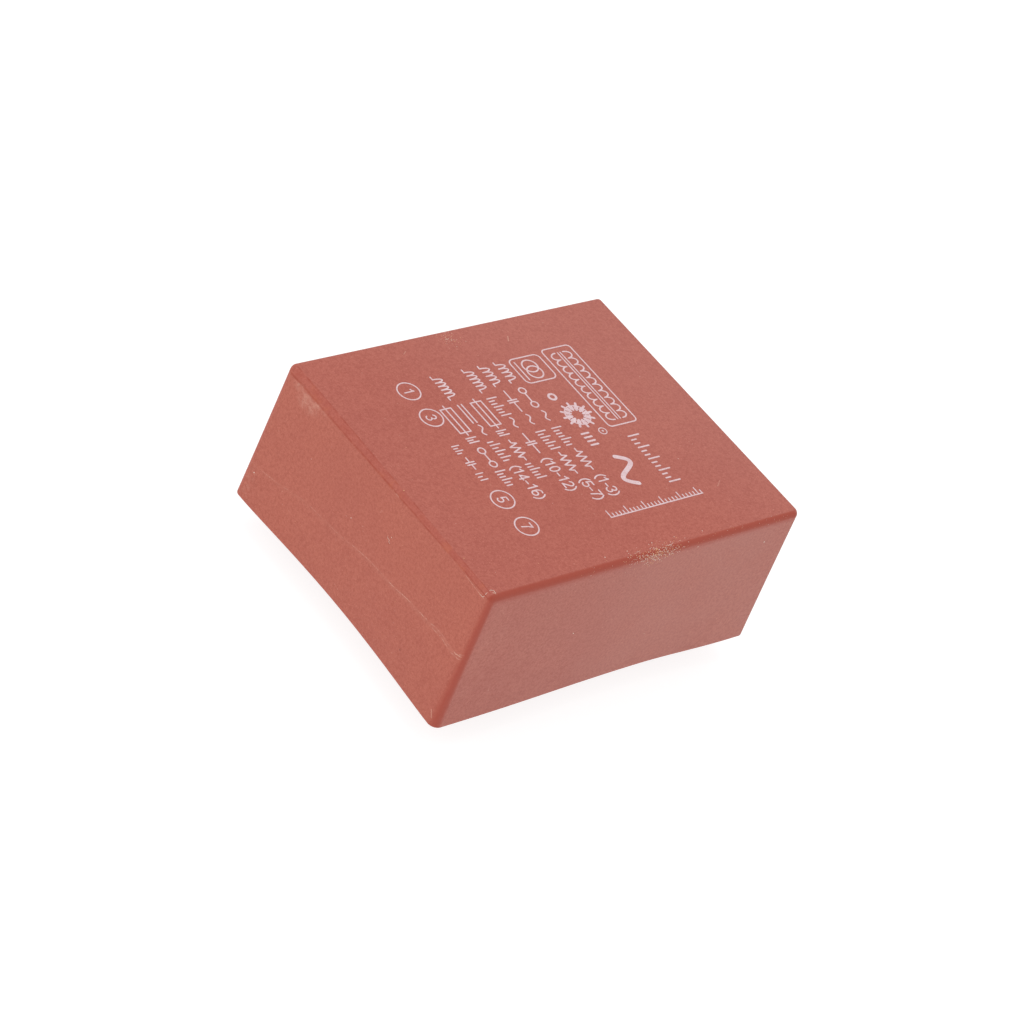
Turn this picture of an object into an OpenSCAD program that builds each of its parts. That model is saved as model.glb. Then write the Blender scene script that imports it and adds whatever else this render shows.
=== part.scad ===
// Low-profile mains transformer for a printed circuit board, potted in a
// moulded case. The core lies flat, with one bobbin on each of its two legs.
// The origin is the centre of the pin grid, in the plane of the board's
// surface. +Z points away from the board, and the long side runs along X.

/* [Case] */
// Length of the case at its open rim
case_l = 53.0; // [52.9:0.1:54.5]
// Width of the case at its open rim
case_w = 43.8; // [43.4:0.1:45.5]
// Height of the case above the board
case_h = 21.7; // [21.5:0.1:23.5]
// Thickness of the case walls
wall = 0.8; // [0.6:0.05:0.8]
// Thickness of the case roof
roof = 0.9; // [0.7:0.1:1]
// Draft: how much each wall leans in between rim and roof
draft = 0.42; // [0.2:0.02:0.44]
// Radius of the upright corners
corner_r = 1.0; // [0.9:0.1:1.4]
// Radius of the edge round the roof
edge_r = 0.8; // [0.4:0.1:0.8]
// Inward bow of the two end walls, at the middle of the rim
bow_end = 0.93; // [0:0.01:0.95]
// Inward bow of the two long walls, at the rim
bow_side = 0.48; // [0:0.01:0.8]
// How far the potting stops short of the rim
fill_gap = 0.35; // [0.2:0.05:0.5]

/* [Core] */
// Width of a core leg; the yokes are as wide, the window is three long
leg = 10; // [9.8:0.1:10]
// Number of sheets in the stack
sheets = 21; // [19:1:21]
// Height of the middle of the core above the board
core_z = 10.4; // [10.3:0.1:10.5]

/* [Bobbins and windings] */
// Thickness of the bobbin's tube
tube_t = 0.65; // [0.5:0.05:0.7]
// Thickness of the flanges and of the partition between the chambers
flange_t = 0.8; // [0.6:0.1:0.8]
// Depth of the windings in their chambers
build = 3.0; // [2.4:0.1:3]
// Thickness of the tape over each winding
tape_t = 0.15; // [0.1:0.05:0.15]
// Diameter of a winding's leads
lead_d = 0.3; // [0.2:0.05:0.3]

/* [Pins] */
// Diameter of a pin where it is free of the potting, with its tin
pin_d = 0.8; // [0.7:0.1:0.9]
// Thickness of the tin on the free part of a pin
tin_t = 0.02; // [0.01:0.01:0.03]
// Length of the pins below the case's rim
pin_len = 4.0; // [3:0.1:6]
// Distance between the two rows of pins
row_gap = 27.5; // [27.4:0.1:27.6]
// Distance between the outer pins of a row
outer_gap = 25; // [24.8:0.1:25.2]
// Distance between the inner pins of a row
inner_gap = 15; // [14.8:0.1:15.2]

/* [Hidden] */
$fn = 48;
sheet_pitch = 0.5;          // a sheet and its varnish
sheet_t = 0.48;             // bare steel
core_h = sheets * sheet_pitch;
core_l = leg * 5;
core_w = leg * 3;
leg_y = leg;                // the legs' middles are at +leg_y and -leg_y
leg_gap = 0.1;              // between a leg and its bobbin

tube_y = leg / 2 + leg_gap + tube_t;      // outer half sizes of the tube
tube_z = core_h / 2 + leg_gap + tube_t;
tube_l = leg * 3 - 0.2;
flange_x = 12.2;            // inner face of the end flanges
flange_y = tube_y + 3.6;
flange_z = tube_z + 3.5;
rail_z0 = 2.3;              // underside of the pin rails
rail_z1 = core_z - core_h / 2 - 0.25;
rail_w = 16.4;
rail_x1 = row_gap / 2 + 2.85;
lead_z = 1.75;
wire_d = pin_d - 2 * tin_t; // bare pin, inside the potting
wrap_r = pin_d / 2 + 0.2;   // outside of a lead's turns round its pin
solder_r = pin_d / 2 + 0.32;
tip = 0.3;                  // tapered tip of a pin
pin_top = rail_z0 + 1.8;    // inner end of a pin, blind in its rail

pin_x = row_gap / 2;
pin_in = inner_gap / 2;
pin_out = outer_gap / 2;

n_side = 10;                // facets along a wall
n_corner = 5;               // facets round a corner, an odd number
n_loop = 4 * n_side + 4 * n_corner;

// ---- the form of the case -------------------------------------------------

// The walls lean in with height, and they bow in towards the open rim, as a
// thin box does when the potting inside it cures and shrinks.
function lean(z) = draft * z / case_h;
function fade(z) = pow(max(0, 1 - z / case_h), 2.2);

// Bow along a wall, for u from -1 to 1: none at the ends, full at u = c.
function bow(u, c, p) =
    let (s = (u - c) / (u < c ? 1 + c : 1 - c)) pow(max(0, 1 - s * s), p);

// A closed loop round the case at height z, moved inwards by d, anticlockwise
// seen from above, with corners of radius r.
function loop_at(z, d, r) =
    let (hx = case_l / 2 - lean(z) - d, hy = case_w / 2 - lean(z) - d,
         lx = hx - r, ly = hy - r, f = fade(z))
    concat(
        [for (i = [0 : n_side]) let (u = -1 + 2 * i / n_side)
            [hx - bow_end * f * bow(u, 0, 1.5), ly * u, z]],
        [for (i = [1 : n_corner - 1]) let (a = 90 * i / n_corner)
            [lx + r * cos(a), ly + r * sin(a), z]],
        [for (i = [0 : n_side]) let (u = 1 - 2 * i / n_side)
            [lx * u, hy - bow_side * f * bow(u, 0, 1.5), z]],
        [for (i = [1 : n_corner - 1]) let (a = 90 + 90 * i / n_corner)
            [-lx + r * cos(a), ly + r * sin(a), z]],
        [for (i = [0 : n_side]) let (u = 1 - 2 * i / n_side)
            [-hx + bow_end * f * bow(u, 0, 1.5), ly * u, z]],
        [for (i = [1 : n_corner - 1]) let (a = 180 + 90 * i / n_corner)
            [-lx + r * cos(a), -ly + r * sin(a), z]],
        [for (i = [0 : n_side]) let (u = -1 + 2 * i / n_side)
            [lx * u, -hy + bow_side * f * bow(u, 0.3, 3), z]],
        [for (i = [1 : n_corner - 1]) let (a = 270 + 90 * i / n_corner)
            [lx + r * cos(a), -ly + r * sin(a), z]]);

// Heights of the loops: the outside up to the rounded edge, and the inside.
out_z = [0, 1.2, 2.8, 4.8, 7.4, 10.6, 15, case_h - edge_r];
in_z = [fill_gap, 1.4, 3, 5, 7.6, 10.8, 15, case_h - roof];
n_round = 5;
in_r = corner_r - 0.5;

function outer_loops() = concat(
    [for (z = out_z) loop_at(z, 0, corner_r)],
    [for (k = [1 : n_round]) let (a = 90 * k / n_round, d = edge_r * (1 - cos(a)))
        loop_at(case_h - edge_r + edge_r * sin(a), d, corner_r - d)]);
function inner_loops() = [for (z = in_z) loop_at(z, wall, in_r)];

function flat(v) = [for (a = v) each a];
// Triangles of a band between loop k and the one above it, outside out.
function band(k) = [for (i = [0 : n_loop - 1])
    let (j = (i + 1) % n_loop, a = k * n_loop, b = a + n_loop)
    each [[a + i, b + i, b + j], [a + i, b + j, a + j]]];
// The same triangles, turned inside out.
function band_in(k) = [for (t = band(k)) [t[0], t[2], t[1]]];
// Point i of loop k, counted from the middle facet of the corner at +X -Y.
function round_to(k, i) = k * n_loop + (i - (n_corner - 1) / 2 + n_loop) % n_loop;
// Triangles that close loop k, facing down or up. Their rungs run from one side
// of that corner to the other, so that none leaves an outline that bows in.
function down_face(k) = [for (i = [0 : n_loop / 2 - 2])
    let (a = round_to(k, i), b = round_to(k, i + 1),
         c = round_to(k, -i - 2), d = round_to(k, -i - 1))
    each [[a, b, c], [a, c, d]]];
function up_face(k) = [for (t = down_face(k)) [t[0], t[2], t[1]]];

module case_shell() {
    o = outer_loops();
    n = concat([loop_at(0, wall, in_r)], inner_loops());
    a = len(o);
    b = len(n);
    rim = [for (i = [0 : n_loop - 1])
        let (j = (i + 1) % n_loop, c = a * n_loop)
        each [[i, j, c + j], [i, c + j, c + i]]];
    polyhedron(
        points = flat(concat(o, n)),
        faces = concat(
            [for (k = [0 : a - 2]) each band(k)],
            [for (k = [a : a + b - 2]) each band_in(k)],
            up_face(a - 1), down_face(a + b - 1), rim),
        convexity = 6);
}

module potting_block() {
    n = inner_loops();
    b = len(n);
    polyhedron(
        points = flat(n),
        faces = concat([for (k = [0 : b - 2]) each band(k)],
            up_face(b - 1), down_face(0)),
        convexity = 4);
}

// ---- small forms ----------------------------------------------------------

// A rectangle of half sizes y and z with round corners, standing across X and
// running from x0 to x1.
module bar(x0, x1, y, z, r) {
    translate([x0, 0, 0]) rotate([90, 0, 90]) linear_extrude(height = x1 - x0)
        union() {
            square([2 * y, 2 * (z - r)], center = true);
            square([2 * (y - r), 2 * z], center = true);
            for (sy = [-1, 1], sz = [-1, 1])
                translate([sy * (y - r), sz * (z - r)]) circle(r = r);
        }
}

module box(x0, x1, y0, y1, z0, z1) {
    translate([x0, y0, z0]) cube([x1 - x0, y1 - y0, z1 - z0]);
}

// Put its children on the leg at y = s * leg_y, at the core's height.
module on_leg(s) { translate([0, s * leg_y, core_z]) children(); }

// ---- core -----------------------------------------------------------------

module u_sheet() {
    linear_extrude(height = sheet_t) difference() {
        translate([-core_l / 2, -core_w / 2]) square([core_l - leg, core_w]);
        translate([-core_l / 2 + leg, -leg / 2]) square([leg * 3 + 1, leg]);
    }
}

module i_sheet() {
    translate([core_l / 2 - leg, -core_w / 2, 0]) cube([leg, core_w, sheet_t]);
}

// The sheets are stacked with their openings to either end by turns.
module stack() {
    for (i = [0 : sheets - 1])
        translate([0, 0, core_z - core_h / 2 + i * sheet_pitch
            + (sheet_pitch - sheet_t) / 2])
            mirror([i % 2, 0, 0]) children();
}

module u_laminations() { color("dimgray") stack() u_sheet(); }
module i_laminations() { color("gray") stack() i_sheet(); }

// ---- bobbins --------------------------------------------------------------

module pin_places(s) {
    for (y = s > 0 ? [pin_out, pin_in] : [-pin_in, -pin_out], e = [-1, 1])
        translate([e * pin_x, y, 0]) children();
}

module bobbin_outline(s) {
    on_leg(s) {
        bar(-tube_l / 2, tube_l / 2, tube_y, tube_z, 0.8);
        for (x = [-flange_x - flange_t, -flange_t / 2, flange_x])
            bar(x, x + flange_t, flange_y, flange_z, 1);
    }
    for (e = [0, 1]) mirror([e, 0, 0])
        box(flange_x + flange_t / 2, rail_x1, s * leg_y - rail_w / 2,
            s * leg_y + rail_w / 2, rail_z0, rail_z1);
}

// A slot in the flange's lower edge lets each lead out to its pin.
module lead_slots(s) {
    for (y = s > 0 ? [pin_out, pin_in] : [-pin_in, -pin_out], e = [0, 1])
        mirror([e, 0, 0]) box(flange_x - 0.2, flange_x + flange_t + 0.2,
            y - 0.45, y + 0.45, 0, lead_z + 0.4);
}

module bobbin(s) {
    difference() {
        bobbin_outline(s);
        on_leg(s) translate([-tube_l, -leg / 2 - leg_gap, -core_h / 2 - leg_gap])
            cube([2 * tube_l, leg + 2 * leg_gap, core_h + 2 * leg_gap]);
        lead_slots(s);
        pin_places(s) translate([0, 0, 1])
            cylinder(h = pin_top - 1, d = wire_d);
    }
}

module bobbin_1() { color("ivory") bobbin(1); }
module bobbin_2() { color("ivory") bobbin(-1); }

// ---- windings -------------------------------------------------------------

// e is the end: -1 for the primary's chamber, 1 for the secondary's.
module chamber(e) { mirror([e < 0 ? 1 : 0, 0, 0]) children(); }

module lead(s, y, e) {
    chamber(e) {
        translate([flange_x - 0.4, y, lead_z]) rotate([0, 90, 0])
            cylinder(h = pin_x - wrap_r + 0.1 - flange_x + 0.4, d = lead_d, $fn = 24);
        translate([pin_x, y, 1.3]) difference() {
            cylinder(h = rail_z0 - 1.3, r = wrap_r);
            translate([0, 0, -1]) cylinder(h = 4, d = wire_d);
        }
    }
}

module winding(s, e) {
    difference() {
        chamber(e) on_leg(s)
            bar(flange_t / 2, flange_x, tube_y + build, tube_z + build, 3.2);
        chamber(e) on_leg(s) bar(-1, flange_x + 1, tube_y, tube_z, 0.8);
    }
    for (y = s > 0 ? [pin_out, pin_in] : [-pin_in, -pin_out]) lead(s, y, e);
}

module tape(s, e) {
    difference() {
        chamber(e) on_leg(s) bar(flange_t / 2, flange_x,
            tube_y + build + tape_t, tube_z + build + tape_t, 3.2 + tape_t);
        chamber(e) on_leg(s)
            bar(-1, flange_x + 1, tube_y + build, tube_z + build, 3.2);
    }
}

module primary_winding_1() { color("darkorange") winding(1, -1); }
module primary_winding_2() { color("darkorange") winding(-1, -1); }
module secondary_winding_1() { color("chocolate") winding(-1, 1); }
module secondary_winding_2() { color("chocolate") winding(1, 1); }
module primary_tape_1() { color("gold") tape(1, -1); }
module primary_tape_2() { color("gold") tape(-1, -1); }
module secondary_tape_1() { color("gold") tape(-1, 1); }
module secondary_tape_2() { color("gold") tape(1, 1); }

// ---- pins -----------------------------------------------------------------

module pin(e, y) {
    color("silver") translate([e * pin_x, y, 0]) {
        translate([0, 0, -pin_len + tip])
            cylinder(h = pin_len - tip + fill_gap, d = pin_d);
        translate([0, 0, -pin_len]) cylinder(h = tip, d1 = pin_d - 0.3, d2 = pin_d);
        cylinder(h = pin_top, d = wire_d);
    }
}

module pin_1() { pin(-1, pin_out); }
module pin_3() { pin(-1, pin_in); }
module pin_5() { pin(-1, -pin_in); }
module pin_7() { pin(-1, -pin_out); }
module pin_10() { pin(1, -pin_out); }
module pin_12() { pin(1, -pin_in); }
module pin_14() { pin(1, pin_in); }
module pin_16() { pin(1, pin_out); }

module solder_blob() {
    cylinder(h = 0.6, r1 = wire_d / 2 + 0.05, r2 = solder_r);
    translate([0, 0, 0.6]) cylinder(h = rail_z0 - 1.3, r = solder_r);
}

module every_pin() {
    for (s = [-1, 1]) pin_places(s) children();
}

module solder_joints() {
    color("lightgray") difference() {
        every_pin() translate([0, 0, 0.7]) solder_blob();
        every_pin() translate([0, 0, 1.3]) cylinder(h = 2, r = wrap_r);
        every_pin() cylinder(h = 3, d = wire_d);
        for (e = [0, 1], y = [-pin_out, -pin_in, pin_in, pin_out])
            mirror([e, 0, 0]) translate([flange_x, y, lead_z]) rotate([0, 90, 0])
                cylinder(h = pin_x - flange_x, d = lead_d, $fn = 24);
    }
}

// ---- potting and case -----------------------------------------------------

module potting_resin() {
    color([0.60, 0.24, 0.19]) difference() {
        potting_block();
        // core
        difference() {
            translate([0, 0, core_z])
                cube([core_l, core_w, core_h], center = true);
            translate([0, 0, core_z])
                cube([leg * 3, leg, core_h + 1], center = true);
        }
        // bobbins, with their windings and tapes
        for (s = [-1, 1]) {
            difference() {
                bobbin_outline(s);
                lead_slots(s);
            }
            on_leg(s) bar(-flange_x, flange_x, tube_y + build + tape_t,
                tube_z + build + tape_t, 3.2 + tape_t);
        }
        // leads, joints and pins
        for (e = [0, 1], y = [-pin_out, -pin_in, pin_in, pin_out])
            mirror([e, 0, 0]) translate([flange_x - 0.1, y, lead_z])
                rotate([0, 90, 0])
                cylinder(h = pin_x - flange_x, d = lead_d, $fn = 24);
        every_pin() translate([0, 0, 0.7]) solder_blob();
        every_pin() translate([0, 0, -1]) cylinder(h = 3, d = wire_d);
    }
}

module case() { color([0.72, 0.39, 0.34]) case_shell(); }

case();
potting_resin();
u_laminations();
i_laminations();
bobbin_1();
bobbin_2();
primary_winding_1();
primary_winding_2();
secondary_winding_1();
secondary_winding_2();
primary_tape_1();
primary_tape_2();
secondary_tape_1();
secondary_tape_2();
pin_1();
pin_3();
pin_5();
pin_7();
pin_10();
pin_12();
pin_14();
pin_16();
solder_joints();
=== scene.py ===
import math
import random

import bmesh
import bpy
import numpy as np
from mathutils import Matrix, Vector, noise
from mathutils.geometry import delaunay_2d_cdt


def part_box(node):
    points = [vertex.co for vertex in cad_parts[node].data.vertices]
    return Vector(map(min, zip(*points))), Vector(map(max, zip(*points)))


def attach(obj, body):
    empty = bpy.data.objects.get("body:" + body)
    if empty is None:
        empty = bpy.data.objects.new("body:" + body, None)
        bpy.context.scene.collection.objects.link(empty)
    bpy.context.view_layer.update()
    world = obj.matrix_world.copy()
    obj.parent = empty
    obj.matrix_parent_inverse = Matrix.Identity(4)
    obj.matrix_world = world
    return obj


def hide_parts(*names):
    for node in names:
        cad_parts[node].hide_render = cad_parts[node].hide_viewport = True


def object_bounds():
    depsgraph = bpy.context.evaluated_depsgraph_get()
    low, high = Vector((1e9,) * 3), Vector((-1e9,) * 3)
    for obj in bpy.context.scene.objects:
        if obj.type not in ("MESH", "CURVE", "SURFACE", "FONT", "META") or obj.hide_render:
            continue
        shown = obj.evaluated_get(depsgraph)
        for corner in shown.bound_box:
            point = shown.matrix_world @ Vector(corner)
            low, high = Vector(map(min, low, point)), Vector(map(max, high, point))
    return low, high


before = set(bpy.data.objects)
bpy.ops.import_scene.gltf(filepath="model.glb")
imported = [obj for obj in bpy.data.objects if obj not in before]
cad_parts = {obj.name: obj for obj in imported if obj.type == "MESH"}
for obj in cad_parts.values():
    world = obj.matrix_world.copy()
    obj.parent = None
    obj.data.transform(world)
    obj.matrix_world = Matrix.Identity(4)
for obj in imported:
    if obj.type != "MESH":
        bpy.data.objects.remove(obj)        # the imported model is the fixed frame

CAD_LO, CAD_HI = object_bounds()
MM = 0.001
rng = random.Random(20)

# --------------------------------------------------------------------------
# The camera: a long lens, rolled a little, above the corner between the left
# end and the front.
# --------------------------------------------------------------------------
RIGHT = Vector((0.7440700337766343, -0.5809754492141836, 0.329889848655601))
DOWN = Vector((-0.1944517555698044, -0.6607161792553858, -0.7250121690192417))
AHEAD = Vector((0.6391778309605699, 0.47531216887487954, -0.6045908058579775))
EYE = Vector((-289.61029, -214.8245, 282.58632)) * MM

cam_data = bpy.data.cameras.new("camera")
cam = bpy.data.objects.new("camera", cam_data)
bpy.context.scene.collection.objects.link(cam)
cam_data.sensor_width = 36.0
cam_data.lens = 3585.7346 / 1024 * 36.0
cam_data.clip_start, cam_data.clip_end = 0.01, 50.0
cols = (RIGHT, -DOWN, -AHEAD)
cam.matrix_world = Matrix(((cols[0].x, cols[1].x, cols[2].x, EYE.x),
                           (cols[0].y, cols[1].y, cols[2].y, EYE.y),
                           (cols[0].z, cols[1].z, cols[2].z, EYE.z),
                           (0, 0, 0, 1)))
bpy.context.scene.camera = cam
bpy.context.scene.view_settings.view_transform = "Standard"


# --------------------------------------------------------------------------
# Material helpers
# --------------------------------------------------------------------------
def lin(r, g, b):
    """An sRGB colour, 0 to 255, as linear RGBA."""
    def f(c):
        c /= 255.0
        return c / 12.92 if c <= 0.04045 else ((c + 0.055) / 1.055) ** 2.4
    return (f(r), f(g), f(b), 1.0)


class Mat:
    """A node material that is built up step by step."""

    def __init__(self, name, roughness=0.5, metallic=0.0, specular=0.5, ior=1.5):
        self.mat = bpy.data.materials.new(name)
        self.mat.use_nodes = True
        self.nt = self.mat.node_tree
        self.nt.nodes.clear()
        self.out = self.nt.nodes.new("ShaderNodeOutputMaterial")
        self.bsdf = self.nt.nodes.new("ShaderNodeBsdfPrincipled")
        self.nt.links.new(self.bsdf.outputs["BSDF"], self.out.inputs["Surface"])
        self.bsdf.inputs["Roughness"].default_value = roughness
        self.bsdf.inputs["Metallic"].default_value = metallic
        self.bsdf.inputs["Specular IOR Level"].default_value = specular
        self.bsdf.inputs["IOR"].default_value = ior
        self.coord = self.nt.nodes.new("ShaderNodeTexCoord").outputs["Object"]

    def put(self, node, socket, value):
        s = node.inputs[socket]
        if isinstance(value, bpy.types.NodeSocket):
            self.nt.links.new(value, s)
        elif value is not None:
            s.default_value = value

    def set(self, socket, value):
        self.put(self.bsdf, socket, value)

    def math(self, op, a, b=None, c=None, clamp=False):
        n = self.nt.nodes.new("ShaderNodeMath")
        n.operation, n.use_clamp = op, clamp
        for i, v in enumerate((a, b, c)):
            if v is not None:
                self.put(n, i, v)
        return n.outputs[0]

    def vec(self, op, a, b=None, scale=None):
        n = self.nt.nodes.new("ShaderNodeVectorMath")
        n.operation = op
        self.put(n, 0, a)
        if b is not None:
            self.put(n, 1, b)
        if scale is not None:
            self.put(n, "Scale", scale)
        return n

    def mix(self, fac, a, b, blend="MIX"):
        n = self.nt.nodes.new("ShaderNodeMix")
        n.data_type, n.blend_type = "RGBA", blend
        self.put(n, 0, fac)
        self.put(n, 6, a)
        self.put(n, 7, b)
        return n.outputs[2]

    def span(self, v, lo, hi, a=0.0, b=1.0, smooth=True):
        n = self.nt.nodes.new("ShaderNodeMapRange")
        n.interpolation_type = "SMOOTHSTEP" if smooth else "LINEAR"
        for i, x in enumerate((v, lo, hi, a, b)):
            self.put(n, i, x)
        return n.outputs[0]

    def noise(self, scale, detail=3.0, rough=0.5, coord=None, distortion=0.0):
        n = self.nt.nodes.new("ShaderNodeTexNoise")
        self.put(n, "Vector", coord or self.coord)
        self.put(n, "Scale", scale)
        self.put(n, "Detail", detail)
        self.put(n, "Roughness", rough)
        self.put(n, "Distortion", distortion)
        return n.outputs["Fac"]

    def cells(self, scale, feature="F1", randomness=1.0, coord=None):
        n = self.nt.nodes.new("ShaderNodeTexVoronoi")
        n.feature = feature
        self.put(n, "Vector", coord or self.coord)
        self.put(n, "Scale", scale)
        self.put(n, "Randomness", randomness)
        return n.outputs["Distance"]

    def stretch(self, sx, sy, sz, coord=None):
        n = self.nt.nodes.new("ShaderNodeMapping")
        self.put(n, "Vector", coord or self.coord)
        self.put(n, "Scale", (sx, sy, sz))
        return n.outputs[0]

    def xyz(self, v=None):
        n = self.nt.nodes.new("ShaderNodeSeparateXYZ")
        self.put(n, 0, v or self.coord)
        return n.outputs

    def attr(self, name):
        n = self.nt.nodes.new("ShaderNodeAttribute")
        n.attribute_name = name
        return n.outputs["Fac"]

    def bump(self, height, strength, distance, normal=None):
        n = self.nt.nodes.new("ShaderNodeBump")
        self.put(n, "Strength", strength)
        self.put(n, "Distance", distance)
        self.put(n, "Height", height)
        if normal is not None:
            self.put(n, "Normal", normal)
        return n.outputs[0]

    def plane(self, u, v):
        """A point on a face as a flat vector, from two of its coordinates."""
        n = self.nt.nodes.new("ShaderNodeCombineXYZ")
        self.put(n, 0, u)
        self.put(n, 1, v)
        return n.outputs[0]

    def stroke(self, p, a, b, width, soft):
        """1 on the line from a to b, in mm, and 0 away from it."""
        a, b = Vector((*a, 0)) * MM, Vector((*b, 0)) * MM
        d = b - a
        rel = self.vec("SUBTRACT", p, a).outputs[0]
        t = self.math("MULTIPLY", self.vec("DOT_PRODUCT", rel, d).outputs["Value"],
                      1.0 / d.length_squared, clamp=True)
        foot = self.vec("SCALE", tuple(d), scale=t).outputs[0]
        far = self.vec("DISTANCE", rel, foot).outputs["Value"]
        return self.span(far, width * MM / 2, width * MM / 2 + soft * MM, 1.0, 0.0)

    def spot(self, p, c, ru, rv, inner=0.2):
        """1 in an ellipse round c, in mm, fading to 0 at its rim."""
        rel = self.vec("SUBTRACT", p, Vector((*c, 0)) * MM).outputs[0]
        rel = self.vec("MULTIPLY", rel, (1 / (ru * MM), 1 / (rv * MM), 0)).outputs[0]
        far = self.vec("LENGTH", rel).outputs["Value"]
        return self.span(far, inner, 1.0, 1.0, 0.0)


# --------------------------------------------------------------------------
# Mesh helpers
# --------------------------------------------------------------------------
def make_object(name, verts_mm, faces, smooth=True, attrs=None):
    me = bpy.data.meshes.new(name)
    me.from_pydata([tuple(c * MM for c in v) for v in verts_mm], [], [list(map(int, f)) for f in faces])
    me.validate()
    for key, vals in (attrs or {}).items():
        a = me.attributes.new(key, "FLOAT", "POINT")
        a.data.foreach_set("value", np.asarray(vals, np.float32))
    me.polygons.foreach_set("use_smooth", [smooth] * len(me.polygons))
    me.update()
    o = bpy.data.objects.new(name, me)
    bpy.context.scene.collection.objects.link(o)
    return o


def disc_fill(border, holes=(), inside=()):
    """Triangles that fill a closed border and stop at the holes. Points are (x, y), in mm.
    Gives (points, triangles), whose first points are the border and then each hole, in order."""
    pts = [Vector(p) for p in border]
    edges = [(i, (i + 1) % len(border)) for i in range(len(border))]
    for h in holes:
        b = len(pts)
        pts += [Vector(p) for p in h]
        edges += [(b + i, b + (i + 1) % len(h)) for i in range(len(h))]
    pts += [Vector(p) for p in inside]
    vo, _, fo, ov, _, _ = delaunay_2d_cdt(pts, edges, [], 1, 1e-7)
    back = {}
    for new, olds in enumerate(ov):
        for old in olds:
            back[new] = min(back.get(new, old), old)
    names = [back[i] for i in range(len(vo))]
    tris = [[names[i] for i in f] for f in fo]
    if holes:
        cen = [(sum(p[0] for p in h) / len(h), sum(p[1] for p in h) / len(h),
                max(math.dist(p, (sum(q[0] for q in h) / len(h), sum(q[1] for q in h) / len(h))) for p in h))
               for h in holes]
        keep = []
        for t in tris:
            mx, my = sum(pts[i].x for i in t) / 3, sum(pts[i].y for i in t) / 3
            if all(math.dist((mx, my), (c[0], c[1])) > c[2] * 0.985 for c in cen):
                keep.append(t)
        tris = keep
    for t in tris:      # anticlockwise
        a, b, c = (pts[i] for i in t)
        if (b - a).cross(c - a) < 0:
            t.reverse()
    return pts, tris


# --------------------------------------------------------------------------
# The case: one moulded shell. Its form is the CAD model's, with more points,
# corner radii that differ, a fillet that tapers, and a softened rim.
# --------------------------------------------------------------------------
lo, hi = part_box("case")
L, W, H = (hi.x - lo.x) / MM, (hi.y - lo.y) / MM, (hi.z - lo.z) / MM
INK = 0.02                   # thickness of the print
HV = H - INK                 # the roof under the print
WALL, ROOF, FILL = 0.8, 0.9, 0.35


def lean(z):
    return 0.42 * z / H


def fade(z):
    return max(0.0, 1 - z / H) ** 2.2


def bow(u, c, p):
    s = (u - c) / (1 + c if u < c else 1 - c)
    return max(0.0, 1 - s * s) ** p


def wall_offset(side, u, z):
    """How far a wall stands in from its straight line, in mm."""
    if side in ("+x", "-x"):
        return 0.93 * fade(z) * bow(u, 0, 1.5)
    if side == "+y":
        return 0.48 * fade(z) * bow(u, 0, 1.5)
    return 0.48 * fade(z) * bow(u, 0.3, 3)


def corner_radius(k, z, inner):
    """Radii at C (+x -y), B (+x +y), A (-x +y) and D (-x -y)."""
    if inner:
        return 0.5
    f = fade(z)
    return {"C": 1.05 - 0.25 * f, "B": 0.62 + 0.1 * f, "A": 1.0 - 0.15 * f, "D": 0.8 + 0.45 * f}[k]


N_X, N_Y, N_C, N_F = 84, 100, 12, 16   # steps along the ends, along the sides, round a corner, and over a fillet


def edge_size(side, u):
    """Radius of the fillet round the roof, along each side."""
    if side == "-x":                 # u runs from D to A
        return 0.5 + 0.42 * (u + 1) / 2
    if side == "-y":
        return 0.76 - 0.04 * u
    if side == "+x":
        return 0.62 - 0.06 * u
    return 0.6


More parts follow.
